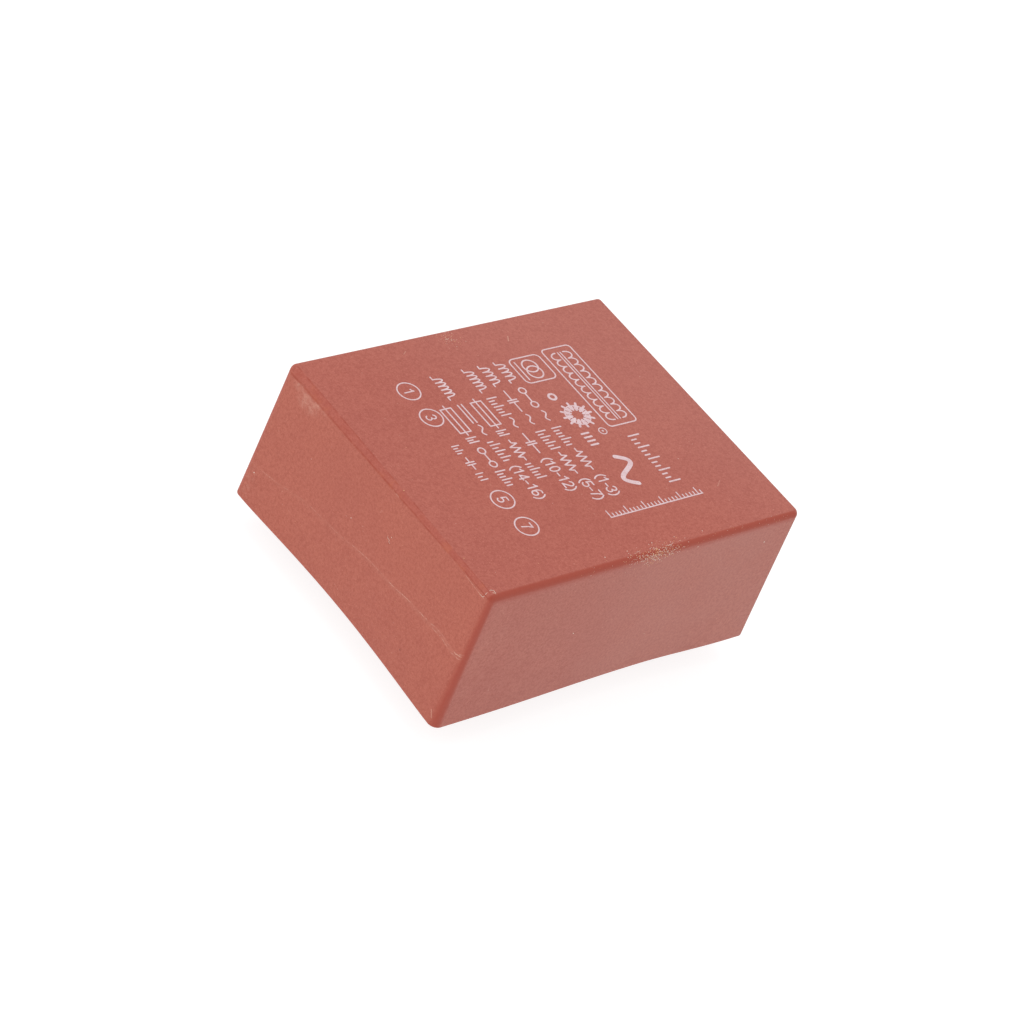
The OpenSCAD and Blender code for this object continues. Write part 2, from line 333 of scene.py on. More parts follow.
def loop(z_of, d_of, inner=False, rough=0.0):
    """A closed loop of points round the case, anticlockwise from above. z_of and d_of give each
    point's height and its inset, from its side, its place along it and its fillet radius."""
    pts, tags = [], []
    order = [("+x", "C", "B"), ("+y", "B", "A"), ("-x", "A", "D"), ("-y", "D", "C")]
    base = {"+x": -90, "+y": 0, "-x": 90, "-y": 180}
    for side, k0, k1 in order:
        n = N_X if side in ("+x", "-x") else N_Y
        flip = side in ("-x", "+y")          # u falls as the loop goes round
        for i in range(n + 1):
            s = -1 + 2 * i / n
            u = -s if flip else s
            e = edge_size(side, u)
            z, d = z_of(side, u, e), d_of(side, u, e)
            dd = WALL if inner else 0.0
            r0 = max(corner_radius(k0, z, inner) - (d - dd), 0.05)
            r1 = max(corner_radius(k1, z, inner) - (d - dd), 0.05)
            ln = lean(z)
            hx, hy = L / 2 - ln, W / 2 - ln
            lo_s = -((hy if side[1] == "x" else hx) - d - r0)
            hi_s = (hy if side[1] == "x" else hx) - d - r1
            along = lo_s + (hi_s - lo_s) * (s + 1) / 2
            if flip:
                along = -along
            off = wall_offset(side, along / (hi_s if along > 0 else -lo_s), z) + d
            if rough:
                q = Vector((along * 0.11, z * 0.11, {"+x": 3, "+y": 7, "-x": 11, "-y": 19}[side]))
                off += rough * (0.5 + 0.5 * noise.noise(q)) * (1 - abs(s) ** 6)
            if side == "+x":
                p = (hx - off, along, z)
            elif side == "-x":
                p = (-hx + off, along, z)
            elif side == "+y":
                p = (along, hy - off, z)
            else:
                p = (along, -hy + off, z)
            pts.append(p)
            tags.append((side, u, e))
        # the corner after this side
        side2 = order[(order.index((side, k0, k1)) + 1) % 4][0]
        sx = {"B": 1, "A": -1, "D": -1, "C": 1}[k1]
        sy = {"B": 1, "A": 1, "D": -1, "C": -1}[k1]
        e0 = edge_size(side, -1 if flip else 1)
        e1 = edge_size(side2, 1 if side2 in ("-x", "+y") else -1)
        for i in range(1, N_C):
            t = i / N_C
            e = e0 + (e1 - e0) * (t * t * (3 - 2 * t))
            z, d = z_of(k1, t, e), d_of(k1, t, e)
            ln = lean(z)
            dd = WALL if inner else 0.0
            rr = max(corner_radius(k1, z, inner) - (d - dd), 0.05)
            cx, cy = sx * (L / 2 - ln - d - rr), sy * (W / 2 - ln - d - rr)
            a = math.radians(base[side] + 90 + 90 * t)
            pts.append((cx + rr * math.cos(a), cy + rr * math.sin(a), z))
            tags.append((k1, t, e))
    return pts, tags


def case_mesh():
    rings, marks = [], []

    def add(z_of, d_of, inner=False, rough=0.0, kind="wall", a=0.0):
        p, tags = loop(z_of, d_of, inner, rough)
        rings.append(p)
        marks.append((tags, kind, a))

    # inside, from the roof down to the rim
    for z in (H - ROOF, 18.5, 15, 12, 9.5, 7.5, 5.8, 4.4, 3.2, 2.2, 1.4, 0.8, FILL, 0.14):
        add(lambda s, u, e, z=z: z, lambda s, u, e: WALL, inner=True)
    # the rim, softened on both edges
    for b in (35, 65, 90):
        b = math.radians(b)
        add(lambda s, u, e, b=b: 0.1 * (1 - math.sin(b)), lambda s, u, e, b=b: WALL - 0.1 * (1 - math.cos(b)), inner=True, kind="rim")
    for b in (90, 65, 40, 15):
        b = math.radians(b)
        add(lambda s, u, e, b=b: 0.16 * (1 - math.sin(b)), lambda s, u, e, b=b: 0.16 * (1 - math.cos(b)), kind="rim")
    # the outer walls
    levels = [0.16, 0.35, 0.6] + [1.0 + 0.42 * i for i in range(46)]
    top = levels[-1]
    for z in levels:
        t = z / top
        add(lambda s, u, e, t=t: t * (HV - e - 0.12) if t > 0.02 else t * (HV - 0.9), lambda s, u, e: 0.0,
            rough=0.045 * min(1, z / 2, (top - z) / 2 + 0.001), kind="wall")
    # the fillet round the roof
    def bevel(s, u):
        """How flat the fillet is: the left one is nearly a chamfer."""
        return 0.55 if s == "-x" else 0.55 * (1 - u) if s == "D" else 0.55 * u if s == "A" else 0.0

    for k in range(0, N_F + 1):
        q = k / N_F
        a = math.radians(90 * q)
        add(lambda s, u, e, a=a, q=q: HV - e + e * (math.sin(a) + bevel(s, u) * (q - math.sin(a))),
            lambda s, u, e, a=a, q=q: e * (1 - math.cos(a) + bevel(s, u) * (q - 1 + math.cos(a))), kind="fillet", a=q)
    for extra in (0.07, 0.16, 0.34, 0.7):
        add(lambda s, u, e: HV, lambda s, u, e, x=extra: e + x, kind="top")
    n = len(rings[0])
    verts = [v for r in rings for v in r]
    faces = []
    for k in range(len(rings) - 1):
        for i in range(n):
            j = (i + 1) % n
            a, b, c, d = k * n + i, k * n + j, (k + 1) * n + j, (k + 1) * n + i
            faces.append((a, b, c, d))
    # edge marks: how much painted edge shade each point takes, most on the edges toward the camera
    edge, crease, turn = [], [], []
    for ring, (tags, kind, a) in zip(rings, marks):
        for (side, u, e), (_, _, z) in zip(tags, ring):
            v, c = 0.0, 0.0
            if kind == "fillet":
                across = math.sin(math.pi * a)
                flat = min(1.0, max(0.0, a / 0.10)) * min(1.0, max(0.0, (1 - a) / 0.2))
                flat = max(flat, 0.72) if a < 0.5 else flat
                if side == "-y":
                    v = flat
                elif side == "+y":
                    v = 0.25 * across
                elif side == "+x":
                    v = 0.3 * across
                elif side == "-x":
                    v = 0.34 * across
                    c = 1.0
                elif side == "D":
                    v = flat * u + 0.30 * across * (1 - u) + 0.8 * min(1, 4 * u * (1 - u)) * (1 - a)
                    c = max(0.0, 1 - 1.4 * u)
                elif side == "C":
                    v = flat * (1 - u) + 0.3 * across * u
                elif side == "A":
                    v = 0.25 * across
                    c = u
                else:
                    v = 0.25 * across
            elif kind in ("wall", "rim"):
                if side == "D":
                    v = min(1.0, 0.16 + u / 0.5) * min(1.0, max(0.0, (1 - u) / 0.26))
                elif side == "-x":
                    v = 0.16 * max(0.0, 1 - (u + 1) / 0.045)
                elif side == "C":
                    v = 0.75 * min(1.0, max(0.0, (0.5 - abs(u - 0.5)) / 0.3))
                elif side in ("A", "B"):
                    v = 0.35 * math.sin(math.pi * u)
                elif side == "-y":
                    v = 0.78 * max(0.0, 1 - (HV - e - z) / 0.62) if kind == "wall" else 0.0
                if kind == "rim":
                    v = max(v, 0.15)
            edge.append(min(1.0, v))
            crease.append(min(1.0, c))
            turn.append(a if kind == "fillet" else 1.0 if kind == "top" else 0.0)
    # the flat of the roof, and the roof inside
    for ring, step, upwards in ((len(rings) - 1, 0.75, True), (0, 2.0, False)):
        border = [(p[0], p[1]) for p in rings[ring]]
        bx, by = max(p[0] for p in border), max(p[1] for p in border)
        inside = []
        m, q = int(2 * (bx - 0.5) / step), int(2 * (by - 0.5) / step)
        for i in range(m + 1):
            for j in range(q + 1):
                inside.append((-bx + 0.5 + 2 * (bx - 0.5) * i / m, -by + 0.5 + 2 * (by - 0.5) * j / q))
        pts, tris = disc_fill(border, (), inside)
        base = len(verts)
        zc = rings[ring][0][2]
        verts += [(p.x, p.y, zc) for p in pts[n:]]
        edge += [0.0] * (len(pts) - n)
        crease += [0.0] * (len(pts) - n)
        turn += [1.0] * (len(pts) - n)
        for t in tris:
            ids = [ring * n + i if i < n else base + i - n for i in t]
            faces.append(ids if upwards else ids[::-1])
    return verts, faces, {"edge": edge, "crease": crease, "turn": turn}


verts, faces, marks_at = case_mesh()
case = make_object("case_shell", verts, faces, attrs=marks_at)
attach(case, "root")
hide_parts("case")


def wall_x(y, z):
    """x of the outside of the left end wall, in mm."""
    ln = lean(z)
    return -(L / 2 - ln) + wall_offset("-x", y / (W / 2 - ln - 1), z)


def wall_y(x, z):
    """y of the outside of the front wall, in mm."""
    ln = lean(z)
    return -(W / 2 - ln) + wall_offset("-y", x / (L / 2 - ln - 1), z)


# --------------------------------------------------------------------------
# The potting's surface, seen from below: the resin climbs the walls and the
# pins a little, and has a few burst bubbles.
# --------------------------------------------------------------------------
pin_names = sorted(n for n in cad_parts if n.startswith("pin_"))
pins = []
for n in pin_names:
    a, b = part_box(n)
    pins.append(((a.x + b.x) / 2 / MM, (a.y + b.y) / 2 / MM, (b.x - a.x) / 2 / MM))


def potting_mesh():
    border3, _ = loop(lambda s, u, e: 0.3, lambda s, u, e: WALL - 0.012, inner=True)
    border = [(p[0], p[1]) for p in border3]
    b = np.array(border)
    nrm = np.roll(b, -1, 0) - np.roll(b, 1, 0)
    nrm = np.stack([-nrm[:, 1], nrm[:, 0]], 1)
    nrm /= np.linalg.norm(nrm, axis=1)[:, None]
    inside = []
    for d in (0.06, 0.13, 0.22, 0.34, 0.5, 0.72):
        ring = b + nrm * d
        step = 1 if d < 0.3 else 2
        inside += [tuple(p) for p in ring[::step]]
    holes = []
    for x, y, r in pins:
        holes.append([(x + (r - 0.01) * math.cos(math.tau * k / 28), y + (r - 0.01) * math.sin(math.tau * k / 28)) for k in range(28)])
        for d in (0.05, 0.11, 0.19, 0.3, 0.45, 0.65, 0.95):
            m = 28 if d < 0.4 else 20
            inside += [(x + (r + d) * math.cos(math.tau * (k + 0.5) / m), y + (r + d) * math.sin(math.tau * (k + 0.5) / m)) for k in range(m)]
    bubbles = [(rng.uniform(-23, 23), rng.uniform(-18, 18), rng.uniform(0.18, 0.55)) for _ in range(22)]
    bubbles = [q for q in bubbles if all(math.dist(q[:2], p[:2]) > 2 for p in pins)]
    for x, y, r in bubbles:
        for d in (0.0, 0.35, 0.7, 0.9, 1.0, 1.15, 1.4):
            m = 1 if d == 0 else 14
            inside += [(x + r * d * math.cos(math.tau * k / m), y + r * d * math.sin(math.tau * k / m)) for k in range(m)]
    g = 0.55
    for i in range(int(-26 / g), int(26 / g) + 1):
        for j in range(int(-21 / g), int(21 / g) + 1):
            x, y = i * g + (0.5 * g if j % 2 else 0), j * g
            d = np.min(np.hypot(b[:, 0] - x, b[:, 1] - y))
            if abs(x) > 25.6 or abs(y) > 21.0 or d < 0.95:
                continue
            if any(math.dist((x, y), p[:2]) < p[2] + 1.1 for p in pins) or any(math.dist((x, y), q[:2]) < q[2] * 1.6 for q in bubbles):
                continue
            inside.append((x, y))
    pts, tris = disc_fill(border, holes, inside)
    xy = np.array([(p.x, p.y) for p in pts])
    dw = np.array([np.min(np.hypot(b[:, 0] - x, b[:, 1] - y)) for x, y in xy])
    z = np.full(len(xy), 0.30)
    z += np.array([0.022 * noise.noise(Vector((x * 0.16, y * 0.16, 4.0))) + 0.006 * noise.noise(Vector((x * 0.7, y * 0.7, 9.0))) for x, y in xy])
    z -= 0.21 * np.exp(-dw / 0.22)
    for x, y, r in pins:
        d = np.maximum(np.hypot(xy[:, 0] - x, xy[:, 1] - y) - r, 0)
        z -= 0.25 * np.exp(-d / 0.17)
    for x, y, r in bubbles:
        d = np.hypot(xy[:, 0] - x, xy[:, 1] - y) / r
        z += 0.03 * np.clip(1 - d * d, 0, 1) - 0.018 * np.exp(-((d - 1.05) / 0.16) ** 2)
    z = np.clip(z, 0.03, 0.343)
    n = len(pts)
    low = [(x, y, zz) for (x, y), zz in zip(xy, z)]
    high = [(x, y, 0.352) for x, y in xy]
    faces = [t[::-1] for t in tris] + [[i + n for i in t] for t in tris]
    rims = [list(range(len(border)))]
    c = len(border)
    for h in holes:
        rims.append(list(range(c, c + len(h)))[::-1])
        c += len(h)
    for rim in rims:
        for i in range(len(rim)):
            a, d = rim[i], rim[(i + 1) % len(rim)]
            faces.append([a, d, d + n, a + n])
    used = sorted({i for f in faces for i in f})
    new = {v: i for i, v in enumerate(used)}
    vs = low + high
    return [vs[i] for i in used], [[new[i] for i in f] for f in faces]


pv, pf = potting_mesh()
potting_skin = make_object("potting_surface", pv, pf)
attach(potting_skin, "root")


# --------------------------------------------------------------------------
# The print on the roof: thin ink, cut out as one closed sheet a group.
# Plain numbers for the pins, and simple electrical figures and tick marks.
# --------------------------------------------------------------------------
class Ink:
    def __init__(self, x, y, scale=1.0, along=(0, -1)):
        """Text space: u runs along the line of print and v towards its top, in mm."""
        self.x, self.y, self.s, self.along = x, y, scale, along
        self.plus, self.minus = [], []

    def place(self, p):
        u, v = p[0] * self.s, p[1] * self.s
        ax, ay = self.along
        return (self.x + ax * u - ay * v, self.y + ay * u + ax * v)

    def poly(self, pts, cut=False):
        (self.minus if cut else self.plus).append([self.place(p) for p in pts])

    def line(self, pts, w, closed=False, cut=False, ends="round"):
        """A stroke of width w along pts: a quad for each stretch, and a round join at each point."""
        h = w / 2
        n = len(pts)
        for i in range(n if closed else n - 1):
            a, b = Vector(pts[i]), Vector(pts[(i + 1) % n])
            if (b - a).length < 1e-6:
                continue
            t = (b - a).normalized()
            m = Vector((-t.y, t.x)) * h
            self.poly([a + m, a - m, b - m, b + m], cut)
        for i in range(n):
            if not closed and i in (0, n - 1) and ends == "flat":
                continue
            k = 12 if w > 0.25 else 10
            self.poly([(pts[i][0] + h * math.cos(math.tau * j / k), pts[i][1] + h * math.sin(math.tau * j / k)) for j in range(k)], cut)

    def ring(self, cx, cy, r, w, cut=False, k=40):
        self.line([(cx + r * math.cos(math.tau * j / k), cy + r * math.sin(math.tau * j / k)) for j in range(k)], w, True, cut)

    def disc(self, cx, cy, r, cut=False, k=28):
        self.poly([(cx + r * math.cos(math.tau * j / k), cy + r * math.sin(math.tau * j / k)) for j in range(k)], cut)

    def block(self, u0, v0, u1, v1, r=0.0, cut=False):
        if r <= 0:
            self.poly([(u0, v0), (u1, v0), (u1, v1), (u0, v1)], cut)
            return
        pts = []
        for cx, cy, a0 in ((u1 - r, v1 - r, 0), (u0 + r, v1 - r, 90), (u0 + r, v0 + r, 180), (u1 - r, v0 + r, 270)):
            pts += [(cx + r * math.cos(math.radians(a0 + 15 * i)), cy + r * math.sin(math.radians(a0 + 15 * i))) for i in range(7)]
        self.poly(pts, cut)

    def frame_of(self, u0, v0, u1, v1, r, w):
        self.block(u0 - w / 2, v0 - w / 2, u1 + w / 2, v1 + w / 2, r + w / 2)
        self.hollow = (u0 + w / 2, v0 + w / 2, u1 - w / 2, v1 - w / 2, max(r - w / 2, 0.05))


def arc(cx, cy, rx, ry, a0, a1, n=10):
    return [(cx + rx * math.cos(math.radians(a0 + (a1 - a0) * i / n)), cy + ry * math.sin(math.radians(a0 + (a1 - a0) * i / n))) for i in range(n + 1)]


# Digits on a cap height of 1, each about 0.56 wide.
DIGITS = {
    "0": [arc(0.29, 0.5, 0.22, 0.44, 90, 450, 24)],
    "1": [[(0.10, 0.74), (0.22, 0.80), (0.33, 0.94), (0.33, 0.06)]],
    "2": [arc(0.29, 0.69, 0.22, 0.24, 165, -35, 9) + [(0.07, 0.07), (0.53, 0.07)]],
    "3": [arc(0.27, 0.71, 0.21, 0.22, 155, -80, 9) + arc(0.27, 0.285, 0.235, 0.225, 75, -160, 10)],
    "4": [[(0.41, 0.06), (0.41, 0.93), (0.05, 0.30), (0.56, 0.30)]],
    "5": [[(0.50, 0.93), (0.16, 0.93), (0.09, 0.50)] + arc(0.28, 0.31, 0.235, 0.245, 135, -150, 10)],
    "6": [arc(0.33, 0.55, 0.26, 0.38, 62, 180, 8) + arc(0.30, 0.30, 0.23, 0.24, 180, 540, 18)],
    "7": [[(0.06, 0.93), (0.53, 0.93), (0.36, 0.60), (0.22, 0.06)]],
    "-": [[(0.08, 0.40), (0.38, 0.40)]],
    "(": [arc(0.86, 0.42, 0.72, 0.72, 133, 227, 9)],
    ")": [arc(-0.46, 0.42, 0.72, 0.72, 47, -47, 9)],
}
ADVANCE = {"-": 0.50, "(": 0.44, ")": 0.44, "1": 0.62}
CAP = 1.72
STROKE = 0.205


def digits(ink, text, u, v, cap=CAP, w=STROKE, room=None):
    """Plain numbers. They are spaced to fill the room, when one is given."""
    widths = [ADVANCE.get(c, 0.66) * cap for c in text]
    gap = (room - sum(widths)) / max(1, len(text) - 1) if room else 0.0
    for c, wd in zip(text, widths):
        for path in DIGITS[c]:
            ink.line([(u + x * cap, v + y * cap) for x, y in path], w)
        u += wd + gap
    return u


def coil(ink, u, v, length, n=4, cap=CAP, w=STROKE):
    """A winding: bumps in a row between two short ends."""
    end = 0.12 * length
    r = (length - 2 * end) / (2 * n)
    pts = [(u, v + 0.1 * cap), (u + end, v + 0.1 * cap)]
    for i in range(n):
        cx = u + end + r * (2 * i + 1)
        pts += arc(cx, v + 0.1 * cap, r, cap * 0.78, 180, 0, 12)
    pts += [(u + length, v + 0.1 * cap)]
    ink.line(pts, w)


def wave(ink, u, v, length, amp=0.3, w=STROKE):
    ink.line([(u + length * t / 20, v + amp * math.sin(math.tau * t / 20)) for t in range(21)], w)


def ticks(ink, u, v, length, pattern, cap=CAP, w=STROKE):
    """Upright marks like those of a scale: each figure gives one mark's height in tenths."""
    n = len(pattern)
    for i, h in enumerate(pattern):
        x = u + w / 2 + (length - w) * i / (n - 1)
        if h == 0:
            continue
        t = cap * h / 10
        ink.line([(x, v + w / 2), (x, v + t - w / 2)], w)


def resistor(ink, u, v, length, cap=CAP, w=STROKE):
    """A zigzag between two ends."""
    m, e = v + 0.45 * cap, 0.14 * length
    n = 6
    pts = [(u, m), (u + e, m)]
    for i in range(n):
        pts.append((u + e + (length - 2 * e) * (i + 0.5) / n, m + (0.40 if i % 2 == 0 else -0.40) * cap))
    pts += [(u + length - e, m), (u + length, m)]
    ink.line(pts, w)


def terminal(ink, u, v, length, cap=CAP, w=STROKE):
    """Two terminals joined by a line."""
    r = 0.30 * cap
    m = v + 0.46 * cap
    ink.ring(u + r + w / 2, m, r, w, k=24)
    ink.ring(u + length - r - w / 2, m, r, w, k=24)
    ink.line([(u + 2 * r + w / 2, m), (u + length - 2 * r - w / 2, m)], w)


def capacitor(ink, u, v, length, cap=CAP, w=STROKE):
    """Two plates with their ends."""
    m, c = v + 0.46 * cap, u + length / 2
    ink.line([(u, m), (c - 0.2, m)], w)
    ink.line([(c + 0.2, m), (u + length, m)], w)
    for s in (-1, 1):
        ink.line([(c + s * 0.2, v + 0.06 * cap), (c + s * 0.2, v + 0.9 * cap)], w * 1.1)


def core_bars(ink, u, v, length, cap=CAP, w=STROKE):
    """The two lines of a core."""
    for k in (0.3, 0.66):
        ink.line([(u, v + k * cap), (u + length, v + k * cap)], w)


def fuse(ink, u, v, length, height, w=STROKE):
    """A fuse: a rectangle with a line through it."""
    e = 0.55
    h = height
    for a, b in (((u + e, v), (u + length - e, v)), ((u + e, v + h), (u + length - e, v + h)),
                 ((u + e, v), (u + e, v + h)), ((u + length - e, v), (u + length - e, v + h)),
                 ((u, v + h / 2), (u + length, v + h / 2))):
        ink.line([a, b], w)


def clusters(polys):
    """Polygons that touch, by their boxes, in groups."""
    boxes = [(min(p[0] for p in q), min(p[1] for p in q), max(p[0] for p in q), max(p[1] for p in q)) for q in polys]
    owner = list(range(len(polys)))

    def root(i):
        while owner[i] != i:
            owner[i] = owner[owner[i]]
            i = owner[i]
        return i
    for i, a in enumerate(boxes):
        for j in range(i):
            b = boxes[j]
            if a[0] <= b[2] + 1e-4 and b[0] <= a[2] + 1e-4 and a[1] <= b[3] + 1e-4 and b[1] <= a[3] + 1e-4:
                owner[root(i)] = root(j)
    groups = {}
    for i in range(len(polys)):
        groups.setdefault(root(i), []).append(i)
    return list(groups.values())


def in_convex(p, poly):
    for i in range(len(poly)):
        a, b = poly[i], poly[(i + 1) % len(poly)]
        if (b[0] - a[0]) * (p[1] - a[1]) - (b[1] - a[1]) * (p[0] - a[0]) < -1e-9:
            return False
    return True


def sheet_of(name, inks, top, thick):
    """One closed sheet of ink from the strokes: their union, less what is cut."""
    verts, faces = [], []
    for ink in inks:
        polys = []
        for p in ink.plus + ink.minus:
            area = sum(p[i][0] * p[(i + 1) % len(p)][1] - p[(i + 1) % len(p)][0] * p[i][1] for i in range(len(p)))
            polys.append(p if area > 0 else p[::-1])
        n_plus = len(ink.plus)
        for group in clusters(polys):
            pts, fin = [], []
            for g in group:
                fin.append(list(range(len(pts), len(pts) + len(polys[g]))))
                pts += [Vector(c) for c in polys[g]]
            vo, _, fo, _, _, _ = delaunay_2d_cdt(pts, [], fin, 1, 1e-5)
            keep = []
            for f in fo:
                a, b, c = (vo[i] for i in f)
                turn = (b - a).cross(c - a)
                if abs(turn) < 1e-8:
                    continue
                m = (a + b + c) / 3
                if any(in_convex(m, polys[g]) for g in group if g < n_plus) and not any(
                        in_convex(m, polys[g]) for g in group if g >= n_plus):
                    keep.append(f if turn > 0 else f[::-1])
            used = sorted({i for f in keep for i in f})
            new = {v: i for i, v in enumerate(used)}
            n, base = len(used), len(verts)
            verts += [(vo[i].x, vo[i].y, top) for i in used] + [(vo[i].x, vo[i].y, top - thick) for i in used]
            seen = set()
            for f in keep:
                ids = [new[i] for i in f]
                faces.append([base + i for i in ids])
                faces.append([base + n + i for i in ids[::-1]])
                for k in range(3):
                    seen.add((ids[k], ids[(k + 1) % 3]))
            for a, b in sorted(seen):
                if (b, a) not in seen:
                    faces.append([base + b, base + a, base + n + a, base + n + b])
    return make_object(name, verts, faces, smooth=False)


def row(x, y=14.2):
    return Ink(x, y)


TOP = H
# pin numbers in rings
number_inks = []
for text, cx, cy in (("1", -13.4, 12.7), ("3", -13.46, 7.7), ("5", -13.57, -7.5), ("7", -13.5, -12.4)):
    k = Ink(cx, cy)
    k.ring(0, 0, 1.56, 0.19, k=56)
    digits(k, text, -0.5 if text != "1" else -0.42, -0.83, cap=1.66, w=0.19)
    number_inks.append(k)

# the rows: u is measured from y = 14.2, towards -Y
rating_inks = []
for n_row, (x, pair) in enumerate(((1.5, "(1-3)"), (-1.15, "(5-7)"))):
    k = row(x)
    coil(k, 0.0, 0, 3.9, n=4)
    if n_row == 0:
        terminal(k, 4.95, 0, 3.9)
    else:
        capacitor(k, 4.95, 0, 3.9)
    wave(k, 9.5, 0.55 * CAP, 1.8)
    ticks(k, 12.6, 0, 3.4, [10, 6, 6, 6, 10, 6, 6] if n_row == 0 else [10, 6, 10, 6, 10, 6, 10])
    resistor(k, 16.7, 0, 3.9)
    digits(k, pair, 21.5, 0, room=4.2)
    rating_inks.append(k)
for n_row, (x, pair) in enumerate(((-3.8, "(10-12)"), (-9.0, "(14-16)"))):
    k = row(x)
    coil(k, 0.0, 0, 4.4, n=5)
    if n_row == 0:
        ticks(k, 5.5, 0, 3.4, [10, 6, 6, 10, 6, 6, 10])
    else:
        core_bars(k, 5.5, 0, 3.4)
    wave(k, 9.4, 0.55 * CAP, 1.8)
    if n_row == 0:
        capacitor(k, 12.4, 0, 3.6)
    else:
        ticks(k, 12.4, 0, 3.6, [6, 10, 6, 10, 6, 10, 6])
    digits(k, pair, 16.9, 0, room=6.4)
    rating_inks.append(k)
for n_row, x in enumerate((-6.5, -11.45)):
    k = row(x)
    fuse(k, 5.1, 0, 5.5, 1.72)
    ticks(k, 11.0, 0, 1.0, [10, 6, 10])
    if n_row == 0:
        resistor(k, 12.9, 0, 3.7)
        ticks(k, 17.2, 0, 2.7, [6, 6, 10, 6, 6, 10])
    else:
        terminal(k, 12.9, 0, 3.7)
        ticks(k, 17.2, 0, 2.7, [10, 6, 6, 10, 6, 6])
    rating_inks.append(k)
k = Ink(-14.3, 2.5)
ticks(k, 0, 0, 1.5, [8, 5, 8, 5], cap=1.6, w=0.18)
capacitor(k, 2.3, 0, 2.1, cap=1.5, w=0.18)
ticks(k, 5.1, 0, 1.3, [8, 5, 8], cap=1.6, w=0.18)
rating_inks.append(k)

# figures
figure_inks = []
# a rounded panel with two rings that overlap
k = Ink(3.95, 14.1)
k.frame_of(0.0, 0.0, 4.6, 5.1, 0.8, 0.2)
k.block(*k.hollow[:4], k.hollow[4], cut=True)
figure_inks.append(k)
k = Ink(3.95, 14.1)
k.ring(1.75, 2.55, 1.12, 0.22, k=44)
k.ring(2.9, 2.55, 1.12, 0.22, k=44)
k.line([(0.62, 0.75), (3.98, 0.75)], 0.2)
figure_inks.append(k)
# a long panel with the plain symbol of a transformer: two windings along a core
k = Ink(9.95, 14.5)
k.frame_of(0.0, 0.0, 15.0, 4.85, 0.6, 0.2)
k.block(*k.hollow[:4], k.hollow[4], cut=True)
figure_inks.append(k)
k = Ink(9.95, 14.5)
for v0, a1 in ((3.12, 0), (1.73, 360)):
    pts = [(1.0, v0)]
    for i in range(10):
        pts += arc(1.0 + 0.65 + 1.3 * i, v0, 0.65, 0.95, 180, a1, 14)
    pts += [(14.0, v0)]
    k.line(pts, 0.22)
for v in (2.2, 2.65):
    k.line([(1.0, v), (14.0, v)], 0.18)
figure_inks.append(k)
# a wound ring, drawn heavy
k = Ink(6.95, 2.65)
k.ring(0, 0, 1.45, 0.78, k=52)
for i in range(12):
    a = math.tau * i / 12
    k.line([(0.95 * math.cos(a), 0.95 * math.sin(a)), (2.25 * math.cos(a), 2.25 * math.sin(a))], 0.34)
for i in range(12):
    a = math.tau * (i + 0.5) / 12
    k.line([(1.25 * math.cos(a), 1.25 * math.sin(a)), (1.66 * math.cos(a), 1.66 * math.sin(a))], 0.12, cut=True)
figure_inks.append(k)
# small marks by it
k = Ink(4.95, 7.1)
k.ring(0.6, 0.75, 0.52, 0.34, k=24)
figure_inks.append(k)
k = Ink(4.9, -0.4)
ticks(k, 0, 0, 2.4, [9, 9, 9, 9], cap=1.6, w=0.3)
figure_inks.append(k)
k = Ink(8.45, -0.85)
k.ring(0, 0, 0.56, 0.15, k=26)
k.disc(0, 0, 0.16)
figure_inks.append(k)
# a broad wave
k = Ink(6.85, -5.35)
pts = [(5.0 * t / 40, 1.5 * math.sin(math.tau * t / 40)) for t in range(41)]
k.line(pts, 0.66)
figure_inks.append(k)
# a row of marks, tall and short
k = Ink(11.2, -2.6)
ticks(k, 0, 0, 8.9, [10, 5, 5, 10, 5, 5, 10, 5, 5, 10, 5, 5, 10], cap=2.0, w=0.24)
figure_inks.append(k)
# a scale along the front edge
k = Ink(-1.2, -14.55, along=(1, 0))
k.line([(0, 0.12), (15.7, 0.12)], 0.18)
for i in range(27):
    h = 1.3 if i % 5 == 0 else 0.72
    k.line([(0.05 + 0.6 * i, 0.12), (0.05 + 0.6 * i, h)], 0.17)
figure_inks.append(k)

ink_numbers = sheet_of("print_pin_numbers", number_inks, TOP, INK + 0.004)
ink_rows = sheet_of("print_rows", rating_inks, TOP, INK + 0.004)
ink_figures = sheet_of("print_figures", figure_inks, TOP, INK + 0.004)
prints = [ink_numbers, ink_rows, ink_figures]
for o in prints:
    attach(o, "root")


# --------------------------------------------------------------------------
# Dust: small flakes and fibres that lie on the case.
# --------------------------------------------------------------------------
def fillet_point(x, a):
    """On the fillet over the front wall, a from 0 at the wall to 1 at the roof."""
    e = edge_size("-y", x / 25)
    t = math.radians(90 * a)
    z = HV - e + e * math.sin(t)
    y = -(W / 2 - lean(z)) + e * (1 - math.cos(t))
    return Vector((x, y, z)), Vector((0, -math.cos(t), math.sin(t)))


def on_surface(face, a, b):
    if face == "top":
        return Vector((a, b, HV)), Vector((0, 0, 1))
    if face == "left":
        return Vector((wall_x(a, b), a, b)), Vector((-1, 0, 0.02)).normalized()
    if face == "front":
        return Vector((a, wall_y(a, b), b)), Vector((0, -1, 0.02)).normalized()
    if face == "back":
        ln = lean(b)
        return Vector((a, W / 2 - ln - wall_offset("+y", a / 25.5, b), b)), Vector((0, 1, 0.02)).normalized()
    if face == "right":
        ln = lean(b)
        return Vector((L / 2 - ln - wall_offset("+x", a / 21, b), a, b)), Vector((1, 0, 0.02)).normalized()
    return fillet_point(a, b)


